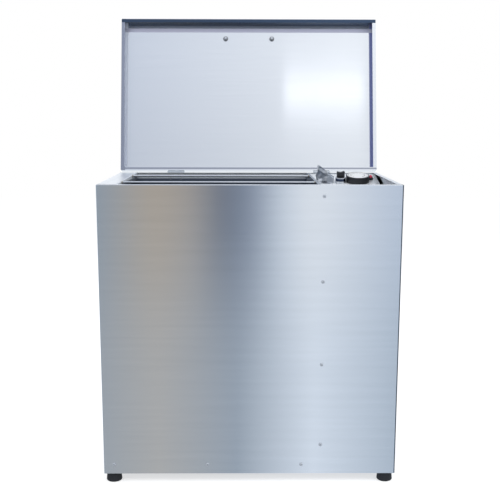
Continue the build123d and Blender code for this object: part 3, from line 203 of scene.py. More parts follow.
def ring_surface(profile, centre, axis, sides):
    """Closed surface of revolution. A row of (radius, height) pairs is turned about the axis: point =
    centre + height * axis + radius * (cos a * u + sin a * v). Gives points and quads, wrapped both ways."""
    axis = np.array(axis, float) / np.linalg.norm(axis)
    u = np.cross(axis, (0.0, 0.0, 1.0) if abs(axis[2]) < 0.9 else (1.0, 0.0, 0.0))
    u /= np.linalg.norm(u)
    v = np.cross(axis, u)
    angle = np.linspace(0, 2 * np.pi, sides, endpoint=False)
    radius, height = np.array(profile, float).T
    circle = np.cos(angle)[:, None] * u + np.sin(angle)[:, None] * v
    points = np.array(centre) + height[:, None, None] * axis + radius[:, None, None] * circle
    ring, step = np.meshgrid(np.arange(len(profile)), np.arange(sides), indexing="ij")
    following = (ring + 1) % len(profile)
    quads = np.stack([ring * sides + step, ring * sides + (step + 1) % sides,
                      following * sides + (step + 1) % sides, following * sides + step], -1).reshape(-1, 4)
    return points.reshape(-1, 3), quads


def piece_from(name, parts, finish, body):
    """One mesh piece from several (points, faces) parts, smooth shaded, riding on a body."""
    points, faces, start = [], [], 0
    for part_points, part_faces in parts:
        points.append(np.asarray(part_points, float))
        faces += [[int(i) + start for i in face] for face in part_faces]
        start += len(part_points)
    mesh = bpy.data.meshes.new(name)
    mesh.from_pydata(np.concatenate(points).tolist(), [], faces)
    mesh.polygons.foreach_set("use_smooth", [True] * len(faces))
    mesh.materials.append(finish)
    piece = bpy.data.objects.new(name, mesh)
    scene.collection.objects.link(piece)
    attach(piece, body)
    return piece


# Bright drawn stainless gives narrow highlights along the bar, broken up by its faint lines.
bright_bar, tree, shader = new_finish("bright_drawn_stainless", "#D3D8DE", 0.24, 1.0)
place = add(tree, "ShaderNodeTexCoord")
drawn_place = add(tree, "ShaderNodeMapping", {"Scale": (0.02 / MM, 1.5 / MM, 1.5 / MM)},
                  {"Vector": place.outputs["Object"]})
drawn = add(tree, "ShaderNodeTexNoise", {"Scale": 1.0, "Detail": 2.0}, {"Vector": drawn_place.outputs[0]})
shade = add(tree, "ShaderNodeMix", {"data_type": "RGBA", 6: linear("#C3C9D0"), 7: linear("#DEE3E8")},
            {0: drawn.outputs[0]})
drawn_rough = add(tree, "ShaderNodeMapRange", {3: 0.16, 4: 0.3}, {0: drawn.outputs[0]})
tree.links.new(shade.outputs[2], shader.inputs["Base Color"])
tree.links.new(drawn_rough.outputs[0], shader.inputs["Roughness"])
dress(bright_bar, *rails, "lid_handle", "hinge_body_leaf_left", "hinge_body_leaf_right",
      "hinge_lid_leaf_left", "hinge_lid_leaf_right", "hinge_pin_left", "hinge_pin_right", "blower_shaft")

# Weld metal left as it cooled is duller than the bar, with patches of its straw tint.
weld_metal, tree, shader = new_finish("tinted_weld_bead", "#B9B2A2", 0.42, 1.0)
place = add(tree, "ShaderNodeTexCoord")
tint_noise = add(tree, "ShaderNodeTexNoise", {"Scale": 0.9 / MM, "Detail": 3.0},
                 {"Vector": place.outputs["Object"]})
tint = add(tree, "ShaderNodeMix", {"data_type": "RGBA", 6: linear("#8C8170"), 7: linear("#C9C3B4")},
           {0: tint_noise.outputs[0]})
tree.links.new(tint.outputs[2], shader.inputs["Base Color"])
rail_radius = (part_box(rails[0])[1].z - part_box(rails[0])[0].z) / 2
bead = 1.1 * MM
bead_sides = 20
bead_foot = rail_radius - 0.3 * MM
bead_turn = np.linspace(0, np.pi, 7)
bead_profile = [(bead_foot, 0.0)]
bead_profile += [(rail_radius + bead * math.sin(a) * 0.9, bead * (1 - math.cos(a)) * 0.9)
                 for a in bead_turn]
bead_profile += [(bead_foot, 2 * bead)]
beads = []
for rail in rails:
    low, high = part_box(rail)
    middle = (low + high) / 2
    beads.append(ring_surface(bead_profile, (low.x, middle.y, middle.z), (1, 0, 0), bead_sides))
    beads.append(ring_surface(bead_profile, (high.x, middle.y, middle.z), (-1, 0, 0), bead_sides))
piece_from("rail_weld_beads", beads, weld_metal, "cabinet")

# Pan-head screws: 7 mm heads with a cross recess, driven at different angles. Those on the front are dull
# stainless, the others zinc-plated steel. They hold the partition, the base pan, the back and the hinges.
# Plating gives these and the fittings inside a soft shine, in patches of lighter and darker grey.
zinc_plate, tree, shader = new_finish("zinc_plated_steel", "#A9ACB0", 0.34, 1.0)
place = add(tree, "ShaderNodeTexCoord")
spangle = add(tree, "ShaderNodeTexNoise", {"Scale": 0.26 / MM, "Detail": 3.0, "Roughness": 0.6},
              {"Vector": place.outputs["Object"]})
zinc_tone = add(tree, "ShaderNodeMix", {"data_type": "RGBA", 6: linear("#8E9297"), 7: linear("#B9BBBC")},
                {0: spangle.outputs[0]})
zinc_rough = add(tree, "ShaderNodeMapRange", {3: 0.26, 4: 0.46}, {0: spangle.outputs[0]})
tree.links.new(zinc_tone.outputs[2], shader.inputs["Base Color"])
tree.links.new(zinc_rough.outputs[0], shader.inputs["Roughness"])
dress(zinc_plate, "handle_nuts", "foot_bolts", "bulb_clips", "pilot_nut", "blower_housing", "blower_wheel",
      "blower_stand", "heater_bracket", "thermostat_shaft")

# Dull stainless hardly shines, so these heads are pale spots on the bright front.
pale_screw, tree, shader = new_finish("dull_stainless_screw", "#C4C9D0", 0.45, 0.35)
place = add(tree, "ShaderNodeTexCoord")
brushed = add(tree, "ShaderNodeTexNoise", {"Scale": 0.42 / MM, "Detail": 3.0},
              {"Vector": place.outputs["Object"]})
screw_tone = add(tree, "ShaderNodeMix", {"data_type": "RGBA", 6: linear("#AEB5BF"), 7: linear("#D3D8DE")},
                 {0: brushed.outputs[0]})
tree.links.new(screw_tone.outputs[2], shader.inputs["Base Color"])
driven = np.random.default_rng(7)
head_radius = 3.5 * MM
head_height = 2.2 * MM
head_rings = 22
head_steps = 72
recess_depth = 1.2 * MM


def pan_head(centre, outward, turn):
    """A domed head on a grid of radius and angle: height = H * (1 - 0.55 (r/R)^4), with its edge rolled
    down, less the depth of a cross recess, which fades over a quarter of a millimetre at its walls."""
    outward = np.array(outward, float) / np.linalg.norm(outward)
    u = np.cross(outward, (1.0, 0.0, 0.0))
    u /= np.linalg.norm(u)
    v = np.cross(outward, u)
    share = np.concatenate([np.linspace(0.03, 1, head_rings), [1.0, 1.0]])
    angle = np.linspace(0, 2 * np.pi, head_steps, endpoint=False)
    share_grid, angle_grid = np.meshgrid(share, angle, indexing="ij")
    a = share_grid * head_radius * np.cos(angle_grid)
    b = share_grid * head_radius * np.sin(angle_grid)
    height = head_height * (1 - 0.55 * share_grid ** 4)
    cross_a = a * math.cos(turn) + b * math.sin(turn)
    cross_b = b * math.cos(turn) - a * math.sin(turn)
    half_slot, reach, fade = 0.45 * MM, 1.75 * MM, 0.25 * MM
    slots = [np.clip((half_slot - np.abs(p)) / fade + 0.5, 0, 1)
             * np.clip((reach - np.abs(q)) / fade + 0.5, 0, 1)
             for p, q in ((cross_a, cross_b), (cross_b, cross_a))]
    height -= recess_depth * np.maximum(*slots)
    height[-2] = 0.4 * MM
    height[-1] = 0.0
    points = np.array(centre) + a[..., None] * u + b[..., None] * v + height[..., None] * outward
    recess_floor = np.array(centre) + (head_height - recess_depth) * outward
    points = np.concatenate([points.reshape(-1, 3), [recess_floor], [np.array(centre)]])
    ring, step = np.meshgrid(np.arange(len(share) - 1) * head_steps, np.arange(head_steps), indexing="ij")
    next_ring, next_step = ring + head_steps, (step + 1) % head_steps
    faces = np.stack([ring + step, next_ring + step, next_ring + next_step, ring + next_step], -1)
    faces = faces.reshape(-1, 4).tolist()
    top, foot, last = len(points) - 2, len(points) - 1, (len(share) - 1) * head_steps
    faces += [[top, s, (s + 1) % head_steps] for s in range(head_steps)]
    faces += [[foot, last + (s + 1) % head_steps, last + s] for s in range(head_steps)]
    return points, faces


def screw_heads(name, node, places, outward, body, finish=zinc_plate):
    """Every head of one CAD group of screws, as one piece that stands for it."""
    parts = [pan_head(place, outward, driven.uniform(0, math.pi / 2)) for place in places]
    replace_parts(piece_from(name, parts, finish, body), node)


low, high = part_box("partition_screws")
partition_column = (low.x + high.x) / 2
front_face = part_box("front_panel")[0].y
rear_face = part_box("right_panel")[1].y + sheet_thickness
screw_heads("partition_screw_heads", "partition_screws",
            [(partition_column, front_face, z)
             for z in np.linspace(low.z + head_radius, high.z - head_radius, 4)],
            (0, -1, 0), "cabinet", pale_screw)
low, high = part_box("base_screws")
screw_heads("base_screw_heads", "base_screws",
            [(x, front_face, (low.z + high.z) / 2)
             for x in np.linspace(low.x + head_radius, high.x - head_radius, 3)],
            (0, -1, 0), "cabinet", pale_screw)
low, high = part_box("rear_panel_screws")
screw_heads("rear_screw_heads", "rear_panel_screws",
            [(x, rear_face, z) for x in (low.x + head_radius, partition_column, high.x - head_radius)
             for z in np.linspace(low.z + head_radius, high.z - head_radius, 4)], (0, 1, 0), "cabinet")
leaf_pitch = 24 * MM
leaf_thickness = 1.5 * MM
low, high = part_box("hinge_screws_body")
leaf_columns = [low.x + head_radius, low.x + head_radius + leaf_pitch,
                high.x - head_radius - leaf_pitch, high.x - head_radius]
screw_heads("hinge_screw_heads_body", "hinge_screws_body",
            [(x, rear_face + leaf_thickness, (low.z + high.z) / 2) for x in leaf_columns],
            (0, 1, 0), "cabinet")
lid_joint = next(j for j in frame["joints"] if j["name"] == "lid_hinge")
hinge = Vector(lid_joint["pos_m"])
open_angle = math.radians(lid_joint["range_deg"][1])
lid_out = Vector((0, math.sin(open_angle), math.cos(open_angle)))
lid_back = Vector((0, math.cos(open_angle), -math.sin(open_angle)))
lid_screws = [vertex.co - hinge for vertex in frame["nodes"]["hinge_screws_lid"].data.vertices]
screw_rises = [point.dot(lid_out) for point in lid_screws]
screw_rise = (min(screw_rises) + max(screw_rises)) / 2
leaf_face = max(point.dot(lid_back) for point in lid_screws) - head_height
screw_heads("hinge_screw_heads_lid", "hinge_screws_lid",
            [tuple(Vector((x, hinge.y, hinge.z)) + lid_out * screw_rise + lid_back * leaf_face)
             for x in leaf_columns], tuple(lid_back), "lid")

# Lid: one stainless sheet folded into a shallow pan, with a turned-in flange all round, hinged at the back.
# It is smoother and brighter than the body, with a fine polish along the sheet. Beside the folds it stays
# dull, where a polishing wheel doesn't reach. Reflections and shade are painted into its colour: blue-black
# on the inside of the front flange, a pale sheen on the left wall strip and shade on the right one, and
# grey shade along the fold strip, the left lip and the lip's foot.
lid_steel, tree, shader = new_finish("polished_stainless_lid", "#E9EDF2", 0.08, 0.9)
place = add(tree, "ShaderNodeTexCoord")
polish_place = add(tree, "ShaderNodeMapping", {"Scale": (0.006 / MM, 0.9 / MM, 0.9 / MM)},
                   {"Vector": place.outputs["Object"]})
polish_lines = add(tree, "ShaderNodeTexNoise", {"Scale": 1.0, "Detail": 3.0},
                   {"Vector": polish_place.outputs[0]})
hand_marks = add(tree, "ShaderNodeTexNoise", {"Scale": 0.009 / MM, "Detail": 5.0, "Roughness": 0.65},
                 {"Vector": place.outputs["Object"]})
polish_tone = add(tree, "ShaderNodeMix", {"data_type": "RGBA", 6: linear("#E3E8EE"), 7: linear("#EDF1F5")},
                  {0: polish_lines.outputs[0]})
from_hinge = add(tree, "ShaderNodeVectorMath", {"operation": "SUBTRACT", 1: hinge},
                 {0: place.outputs["Object"]})
up_lid = add(tree, "ShaderNodeVectorMath", {"operation": "DOT_PRODUCT", 1: -lid_back},
             {0: from_hinge.outputs[0]})
into_lid = add(tree, "ShaderNodeVectorMath", {"operation": "DOT_PRODUCT", 1: lid_out},
               {0: from_hinge.outputs[0]})
lid_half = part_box("lid_pan")[1].x
flange_start, flange_end, flange_floor = 355.5 * MM, 363.4 * MM, 23.4 * MM
fold_start, fold_end = 339.5 * MM, 348.5 * MM
wall_start, wall_end = lid_half - 13.5 * MM, lid_half - 11.5 * MM
foot_start, foot_end = 7 * MM, 10.6 * MM
lip_width = 10.5 * MM
mouth_depth, floor_depth = 3 * MM, 20 * MM
past_start = add(tree, "ShaderNodeMath", {"operation": "GREATER_THAN", 1: flange_start},
                 {0: up_lid.outputs["Value"]})
before_end = add(tree, "ShaderNodeMath", {"operation": "LESS_THAN", 1: flange_end},
                 {0: up_lid.outputs["Value"]})
above_floor = add(tree, "ShaderNodeMath", {"operation": "LESS_THAN", 1: flange_floor},
                  {0: into_lid.outputs["Value"]})
within = add(tree, "ShaderNodeMath", {"operation": "MULTIPLY"},
             {0: past_start.outputs[0], 1: before_end.outputs[0]})
in_band = add(tree, "ShaderNodeMath", {"operation": "MULTIPLY"},
              {0: within.outputs[0], 1: above_floor.outputs[0]})
outward = add(tree, "ShaderNodeVectorMath", {"operation": "DOT_PRODUCT", 1: lid_out},
              {0: place.outputs["Normal"]})
turned_away = add(tree, "ShaderNodeMath", {"operation": "GREATER_THAN", 1: 0.6},
                  {0: outward.outputs["Value"]})
in_sight = add(tree, "ShaderNodeMath", {"operation": "SUBTRACT", 0: 1.0}, {1: turned_away.outputs[0]})
flange_dull_and_shaded = add(tree, "ShaderNodeMath", {"operation": "MULTIPLY"},
                {0: in_band.outputs[0], 1: in_sight.outputs[0]})
near_mouth = add(tree, "ShaderNodeMath", {"operation": "LESS_THAN", 1: mouth_depth},
                 {0: into_lid.outputs["Value"]})
lip_back = add(tree, "ShaderNodeMath", {"operation": "MULTIPLY"},
               {0: near_mouth.outputs[0], 1: turned_away.outputs[0]})
lip_tone = add(tree, "ShaderNodeMix", {"data_type": "RGBA", 7: linear("#C3CBDA")},
               {0: lip_back.outputs[0], 6: polish_tone.outputs[2]})
apart = add(tree, "ShaderNodeSeparateXYZ", {}, {0: place.outputs["Object"]})
aside = add(tree, "ShaderNodeMath", {"operation": "ABSOLUTE"}, {0: apart.outputs[0]})
inner_face = add(tree, "ShaderNodeMath", {"operation": "LESS_THAN", 1: -0.6},
                 {0: outward.outputs["Value"]})
deep = add(tree, "ShaderNodeMath", {"operation": "GREATER_THAN", 1: floor_depth},
           {0: into_lid.outputs["Value"]})
lid_floor = add(tree, "ShaderNodeMath", {"operation": "MULTIPLY"},
                {0: inner_face.outputs[0], 1: deep.outputs[0]})
by_wall = add(tree, "ShaderNodeMapRange", {1: wall_start, 2: wall_end}, {0: aside.outputs[0]})
wall_strip = add(tree, "ShaderNodeMath", {"operation": "MULTIPLY"},
                 {0: by_wall.outputs[0], 1: lid_floor.outputs[0]})
over_start = add(tree, "ShaderNodeMath", {"operation": "GREATER_THAN", 1: fold_start},
                 {0: up_lid.outputs["Value"]})
under_end = add(tree, "ShaderNodeMath", {"operation": "LESS_THAN", 1: fold_end},
                {0: up_lid.outputs["Value"]})
by_top = add(tree, "ShaderNodeMath", {"operation": "MULTIPLY"},
             {0: over_start.outputs[0], 1: under_end.outputs[0]})
top_strip = add(tree, "ShaderNodeMath", {"operation": "MULTIPLY"},
                {0: by_top.outputs[0], 1: lid_floor.outputs[0]})
strips = add(tree, "ShaderNodeMath", {"operation": "MAXIMUM"},
             {0: top_strip.outputs[0], 1: wall_strip.outputs[0]})
unpolished = add(tree, "ShaderNodeMath", {"operation": "MAXIMUM"},
                 {0: lip_back.outputs[0], 1: strips.outputs[0]})
outer_skin = add(tree, "ShaderNodeMath", {"operation": "MULTIPLY_ADD", 1: 0.55},
                 {0: turned_away.outputs[0], 2: unpolished.outputs[0]})
lid_metal = add(tree, "ShaderNodeMapRange", {3: 0.9, 4: 0.1}, {0: outer_skin.outputs[0]})
tree.links.new(lid_metal.outputs[0], shader.inputs["Metallic"])
# Painted sheen and shade: the strip by the left wall is coloured pale, the one by the right wall dark
# violet.
to_right = add(tree, "ShaderNodeMath", {"operation": "GREATER_THAN", 1: 0.0}, {0: apart.outputs[0]})
wall_painted_sheen_and_shade = add(tree, "ShaderNodeMix", {"data_type": "RGBA", 6: linear("#E4EBFA"), 7: linear("#7A82B4")},
                 {0: to_right.outputs[0]})
wall_tone = add(tree, "ShaderNodeMix", {"data_type": "RGBA"},
                {0: wall_strip.outputs[0], 6: lip_tone.outputs[2], 7: wall_painted_sheen_and_shade.outputs[2]})
# Painted shade: grey lines on the lip at its left edge and along the lid's foot.
at_left = add(tree, "ShaderNodeMath", {"operation": "LESS_THAN", 1: lip_width - lid_half},
              {0: apart.outputs[0]})
at_foot = add(tree, "ShaderNodeMath", {"operation": "LESS_THAN", 1: foot_end},
              {0: up_lid.outputs["Value"]})
off_edge = add(tree, "ShaderNodeMath", {"operation": "GREATER_THAN", 1: foot_start},
               {0: up_lid.outputs["Value"]})
foot_line = add(tree, "ShaderNodeMath", {"operation": "MULTIPLY"},
                {0: at_foot.outputs[0], 1: off_edge.outputs[0]})
lip_shade_lines = add(tree, "ShaderNodeMath", {"operation": "MAXIMUM"},
                 {0: at_left.outputs[0], 1: foot_line.outputs[0]})
lip_face = add(tree, "ShaderNodeMath", {"operation": "MULTIPLY"},
               {0: near_mouth.outputs[0], 1: lip_shade_lines.outputs[0]})
lip_painted_shade = add(tree, "ShaderNodeMix", {"data_type": "RGBA", 7: linear("#A3A8B6")},
                {0: lip_face.outputs[0], 6: wall_tone.outputs[2]})
# Painted shade: a grey strip on the lid's floor along the fold.
fold_painted_shade = add(tree, "ShaderNodeMix", {"data_type": "RGBA", 7: linear("#B4B7CB")},
                {0: top_strip.outputs[0], 6: lip_painted_shade.outputs[2]})
# Painted shade: the inside of the front flange is coloured blue-black.
lid_tone = add(tree, "ShaderNodeMix", {"data_type": "RGBA", 7: linear("#495A73")},
               {0: flange_dull_and_shaded.outputs[0], 6: fold_painted_shade.outputs[2]})
lid_rough = add(tree, "ShaderNodeMapRange", {3: 0.06, 4: 0.10}, {0: hand_marks.outputs[0]})
dull_skin = add(tree, "ShaderNodeMath", {"operation": "MAXIMUM"},
                {0: turned_away.outputs[0], 1: strips.outputs[0]})
duller = add(tree, "ShaderNodeMath", {"operation": "MAXIMUM"},
             {0: flange_dull_and_shaded.outputs[0], 1: dull_skin.outputs[0]})
flange_rough = add(tree, "ShaderNodeMath", {"operation": "MULTIPLY_ADD", 1: 0.3},
                   {0: duller.outputs[0], 2: lid_rough.outputs[0]})
up_sheet = add(tree, "ShaderNodeCombineXYZ", dict(enumerate(lid_back)))
up_turned = add(tree, "ShaderNodeVectorTransform",
                {"vector_type": "VECTOR", "convert_from": "OBJECT", "convert_to": "WORLD"},
                {0: up_sheet.outputs[0]})
shader.inputs["Anisotropic"].default_value = 0.9
tree.links.new(lid_tone.outputs[2], shader.inputs["Base Color"])
tree.links.new(flange_rough.outputs[0], shader.inputs["Roughness"])
tree.links.new(up_turned.outputs[0], shader.inputs["Tangent"])
dress(lid_steel, "lid_pan")

# Feet: moulded black rubber, each bolted up under the base from a recess in its tread. The rubber is matt,
# faintly bloomed grey, with dust in its pores.
rubber, tree, shader = new_finish("moulded_black_rubber", "#1E2024", 0.72)
place = add(tree, "ShaderNodeTexCoord")
pores = add(tree, "ShaderNodeTexNoise", {"Scale": 0.7 / MM, "Detail": 4.0},
            {"Vector": place.outputs["Object"]})
bloom = add(tree, "ShaderNodeTexNoise", {"Scale": 0.06 / MM, "Detail": 3.0},
            {"Vector": place.outputs["Object"]})
rubber_tone = add(tree, "ShaderNodeMix", {"data_type": "RGBA", 6: linear("#15171B"), 7: linear("#2C2E33")},
                  {0: bloom.outputs[0]})
rubber_skin = add(tree, "ShaderNodeBump", {"Strength": 0.25, "Distance": 0.1 * MM},
                  {"Height": pores.outputs[0]})
tree.links.new(rubber_tone.outputs[2], shader.inputs["Base Color"])
tree.links.new(rubber_skin.outputs[0], shader.inputs["Normal"])
dress(rubber, "foot_front_left", "foot_front_right", "foot_rear_left", "foot_rear_right")

# Control deck: a satin sheet that slopes down to the front between the partition and the right side, rubbed
# nearly white, so that it mirrors little. A deflector of hand-bent sheet stands on it, with shallow dents,
# whose light and shade are painted into its colour from dark grey to near white. The narrow gap between the
# deck and the right side is painted near black, as shade.
deck_steel = satin_sheet("satin_stainless_deck", "#F4F7FA", "#E8EDF2", 0.34, along_y, (1.0, 0.1, 0.05),
                         spread=0.2, top_metal=0.15)
deflector_steel, tree, shader = new_finish("hand_bent_sheet", "#C9CFD6", 0.3, 0.9)
place = add(tree, "ShaderNodeTexCoord")
dents = add(tree, "ShaderNodeTexNoise",
            {"Scale": 0.075 / MM, "Detail": 2.0, "Roughness": 0.4, "Distortion": 0.6},
            {"Vector": place.outputs["Object"]})
dent_shading_mask = add(tree, "ShaderNodeMapRange", {"From Min": 0.35, "From Max": 0.65}, {0: dents.outputs[0]})
# Painted light and shade: the dents are coloured from dark grey to near white, following their bump.
dent_painted_light_and_shade = add(tree, "ShaderNodeMix", {"data_type": "RGBA", 6: linear("#5D6673"), 7: linear("#EEF1F5")},
                {0: dent_shading_mask.outputs[0]})
dented = add(tree, "ShaderNodeBump", {"Strength": 0.9, "Distance": 3 * MM}, {"Height": dents.outputs[0]})
tree.links.new(dent_painted_light_and_shade.outputs[2], shader.inputs["Base Color"])
tree.links.new(dented.outputs[0], shader.inputs["Normal"])
dial_joint = next(j for j in frame["joints"] if j["name"] == "dial_turn")
deck_up = Vector(dial_joint["axis"]).normalized()

# The side's inner face, close over the deck, is the gap: hardly any light gets there, so its shade is
# painted in near black.
gap_top = 9 * MM
tree = right_steel.node_tree
shader = tree.nodes["Principled BSDF"]
plain = shader.inputs["Base Color"].links[0].from_socket
place = add(tree, "ShaderNodeTexCoord")
from_deck = add(tree, "ShaderNodeVectorMath", {"operation": "SUBTRACT", 1: Vector(dial_joint["pos_m"])},
                {0: place.outputs["Object"]})
over_deck = add(tree, "ShaderNodeVectorMath", {"operation": "DOT_PRODUCT", 1: deck_up},
                {0: from_deck.outputs[0]})
by_deck = add(tree, "ShaderNodeMapRange", {1: gap_top, 2: gap_top - 3 * MM},
              {0: over_deck.outputs["Value"]})
facing = add(tree, "ShaderNodeVectorMath", {"operation": "DOT_PRODUCT", 1: (-1, 0, 0)},
             {0: place.outputs["Normal"]})
turned_in = add(tree, "ShaderNodeMapRange", {1: 0.5, 2: 0.8}, {0: facing.outputs["Value"]})
gap_painted_shade = add(tree, "ShaderNodeMath", {"operation": "MULTIPLY"},
                {0: by_deck.outputs[0], 1: turned_in.outputs[0]})
gap_tone = add(tree, "ShaderNodeMix", {"data_type": "RGBA", 7: linear("#232834")},
               {0: gap_painted_shade.outputs[0], 6: plain})
tree.links.new(gap_tone.outputs[2], shader.inputs["Base Color"])
dress(deck_steel, "control_deck")
dress(deflector_steel, "air_deflector")

# Thermostat dial: a black phenolic moulding on the thermostat's shaft, with a white disc let into its face.
# The disc is screen printed, numbered in tens round its scale, with a mark for every two. The other black
# mouldings take the same finish: a low gloss, with the flow marks of the mould.
phenolic, tree, shader = new_finish("black_phenolic", "#17181B", 0.3)
place = add(tree, "ShaderNodeTexCoord")
flow = add(tree, "ShaderNodeTexNoise", {"Scale": 0.24 / MM, "Detail": 4.0},
           {"Vector": place.outputs["Object"]})
phenolic_tone = add(tree, "ShaderNodeMix",
                    {"data_type": "RGBA", 6: linear("#101114"), 7: linear("#232529")},
                    {0: flow.outputs[0]})
phenolic_rough = add(tree, "ShaderNodeMapRange", {3: 0.22, 4: 0.4}, {0: flow.outputs[0]})
tree.links.new(phenolic_tone.outputs[2], shader.inputs["Base Color"])
tree.links.new(phenolic_rough.outputs[0], shader.inputs["Roughness"])
dress(phenolic, "thermostat_dial", "thermostat_body", "selector_knob", "selector_body", "pilot_lamp",
      "mains_gland", "gland_nut")

# The disc's white lacquer is matt, with only a faint change of tone.
printed_disc, tree, shader = new_finish("printed_white_disc", "#F0F1F2", 0.42)
place = add(tree, "ShaderNodeTexCoord")
paper = add(tree, "ShaderNodeTexNoise", {"Scale": 0.4 / MM, "Detail": 3.0},
            {"Vector": place.outputs["Object"]})
disc_tone = add(tree, "ShaderNodeMix", {"data_type": "RGBA", 6: linear("#E8EAEC"), 7: linear("#F5F6F6")},
                {0: paper.outputs[0]})
tree.links.new(disc_tone.outputs[2], shader.inputs["Base Color"])
dress(printed_disc, "dial_face")

# Screen-printed ink is black with a little of the white showing through its thinner spots.
ink, tree, shader = new_finish("black_screen_ink", "#2B2D33", 0.5)
place = add(tree, "ShaderNodeTexCoord")
ink_film = add(tree, "ShaderNodeTexNoise", {"Scale": 0.9 / MM, "Detail": 2.0},
               {"Vector": place.outputs["Object"]})
ink_tone = add(tree, "ShaderNodeMix", {"data_type": "RGBA", 6: linear("#23252B"), 7: linear("#3A3C42")},
               {0: ink_film.outputs[0]})
tree.links.new(ink_tone.outputs[2], shader.inputs["Base Color"])
deck_x = Vector((1, 0, 0))
deck_y = deck_up.cross(deck_x)
face_rise = 15.42 * MM
print_thickness = 0.06 * MM
face_centre = Vector(dial_joint["pos_m"]) + deck_up * face_rise
dial_start, dial_sweep = math.radians(225), math.radians(270)
dial_numbers = range(0, 101, 10)
dial_ticks = 50
number_ring = 15.6 * MM
parts = []


def on_face(points):
    """Points given on the dial's face, as (across, up the deck, above the face), in the frame."""
    axes = np.array([deck_x, deck_y, deck_up])
    return np.asarray(points) @ axes + np.array(face_centre)


def slab(corners):
    """A flat four-cornered print with its own small thickness."""
    flat = np.array(corners, float)
    low_points = np.column_stack([flat, np.zeros(4)])
    high_points = np.column_stack([flat, np.full(4, print_thickness)])
    faces = [[3, 2, 1, 0], [4, 5, 6, 7]] + [[i, (i + 1) % 4, (i + 1) % 4 + 4, i + 4] for i in range(4)]
    return on_face(np.concatenate([low_points, high_points])), faces


for tick in range(dial_ticks + 1):
    angle = dial_start - dial_sweep * tick / dial_ticks
    long_tick = tick % 5 == 0
    inner, outer = (19.2 if long_tick else 20.6) * MM, 22.6 * MM
    half = (0.3 if long_tick else 0.18) * MM
    way = np.array([math.cos(angle), math.sin(angle)])
    side = np.array([-way[1], way[0]]) * half
    parts.append(slab([way * inner - side, way * outer - side, way * outer + side, way * inner + side]))
for number in dial_numbers:
    angle = dial_start - dial_sweep * number / dial_numbers[-1]
    lettering = bpy.data.curves.new(f"dial_number_{number}", "FONT")
    lettering.body = str(number)
    lettering.size = 5.2 * MM
    lettering.align_x = "CENTER"
    lettering.align_y = "CENTER"
    lettering.resolution_u = 4
    holder = bpy.data.objects.new(f"dial_number_{number}", lettering)
    shape = bpy.data.meshes.new_from_object(holder)
    flat = np.zeros(len(shape.vertices) * 3)
    shape.vertices.foreach_get("co", flat)
    turn = angle - math.pi / 2
    across, rise = flat.reshape(-1, 3)[:, 0], flat.reshape(-1, 3)[:, 1]
    placed = np.column_stack([
        math.cos(angle) * number_ring + across * math.cos(turn) - rise * math.sin(turn),
        math.sin(angle) * number_ring + across * math.sin(turn) + rise * math.cos(turn),
        np.full(len(across), print_thickness)])
    parts.append((on_face(placed), [list(p.vertices) for p in shape.polygons]))
    bpy.data.objects.remove(holder)
    bpy.data.meshes.remove(shape)
scale_print = piece_from("dial_scale_print", parts, ink, "dial")
scale_print.data.polygons.foreach_set("use_smooth", [False] * len(scale_print.data.polygons))

# Selector switch and pilot lamp, each held by a nut below the deck. A black moulded lever turns in a bezel
# with polished plating, on which a dark reflection is painted as a ring half-way up, and the lamp's red lens
# is moulded with fine prisms that break up the light.
plated, tree, shader = new_finish("polished_plate", "#D9DCE0", 0.1, 1.0)
place = add(tree, "ShaderNodeTexCoord")
polish = add(tree, "ShaderNodeTexNoise", {"Scale": 0.3 / MM, "Detail": 2.0},
             {"Vector": place.outputs["Object"]})
polish_rough = add(tree, "ShaderNodeMapRange", {3: 0.06, 4: 0.18}, {0: polish.outputs[0]})
tree.links.new(polish_rough.outputs[0], shader.inputs["Roughness"])
from_deck = add(tree, "ShaderNodeVectorMath", {"operation": "SUBTRACT", 1: Vector(dial_joint["pos_m"])},
                {0: place.outputs["Object"]})
over_deck = add(tree, "ShaderNodeVectorMath", {"operation": "DOT_PRODUCT", 1: deck_up},
                {0: from_deck.outputs[0]})
ring_low, ring_top = 4 * MM, 12 * MM
over_low = add(tree, "ShaderNodeMapRange", {1: ring_low, 2: ring_low + 2 * MM},
               {0: over_deck.outputs["Value"]})
under_top = add(tree, "ShaderNodeMapRange", {1: ring_top, 2: ring_top - 1.5 * MM},
                {0: over_deck.outputs["Value"]})
painted_dark_reflection = add(tree, "ShaderNodeMath", {"operation": "MULTIPLY"},
                {0: over_low.outputs[0], 1: under_top.outputs[0]})
# Painted reflection: a dark blue-grey ring on the bezel, half-way up.
ring_tone = add(tree, "ShaderNodeMix", {"data_type": "RGBA", 6: linear("#D9DCE0"), 7: linear("#39435A")},
                {0: painted_dark_reflection.outputs[0]})
tree.links.new(ring_tone.outputs[2], shader.inputs["Base Color"])
dress(plated, "selector_bezel")

# The lens is glossy and lets some light in, and the glints of its prisms are painted as small pale facets in
# the red.
red_lens, tree, shader = new_finish("red_moulded_lens", "#D8324F", 0.16)
place = add(tree, "ShaderNodeTexCoord")
prisms = add(tree, "ShaderNodeTexVoronoi", {"Scale": 0.7 / MM}, {"Vector": place.outputs["Object"]})
lens_red_and_glints = add(tree, "ShaderNodeMix", {"data_type": "RGBA", 6: linear("#C01E3C"), 7: linear("#EE5470")},
                {0: prisms.outputs["Distance"]})
tree.links.new(lens_red_and_glints.outputs[2], shader.inputs["Base Color"])
shader.inputs["Transmission Weight"].default_value = 0.25
shader.inputs["Coat Weight"].default_value = 0.5
dress(red_lens, "pilot_lens")

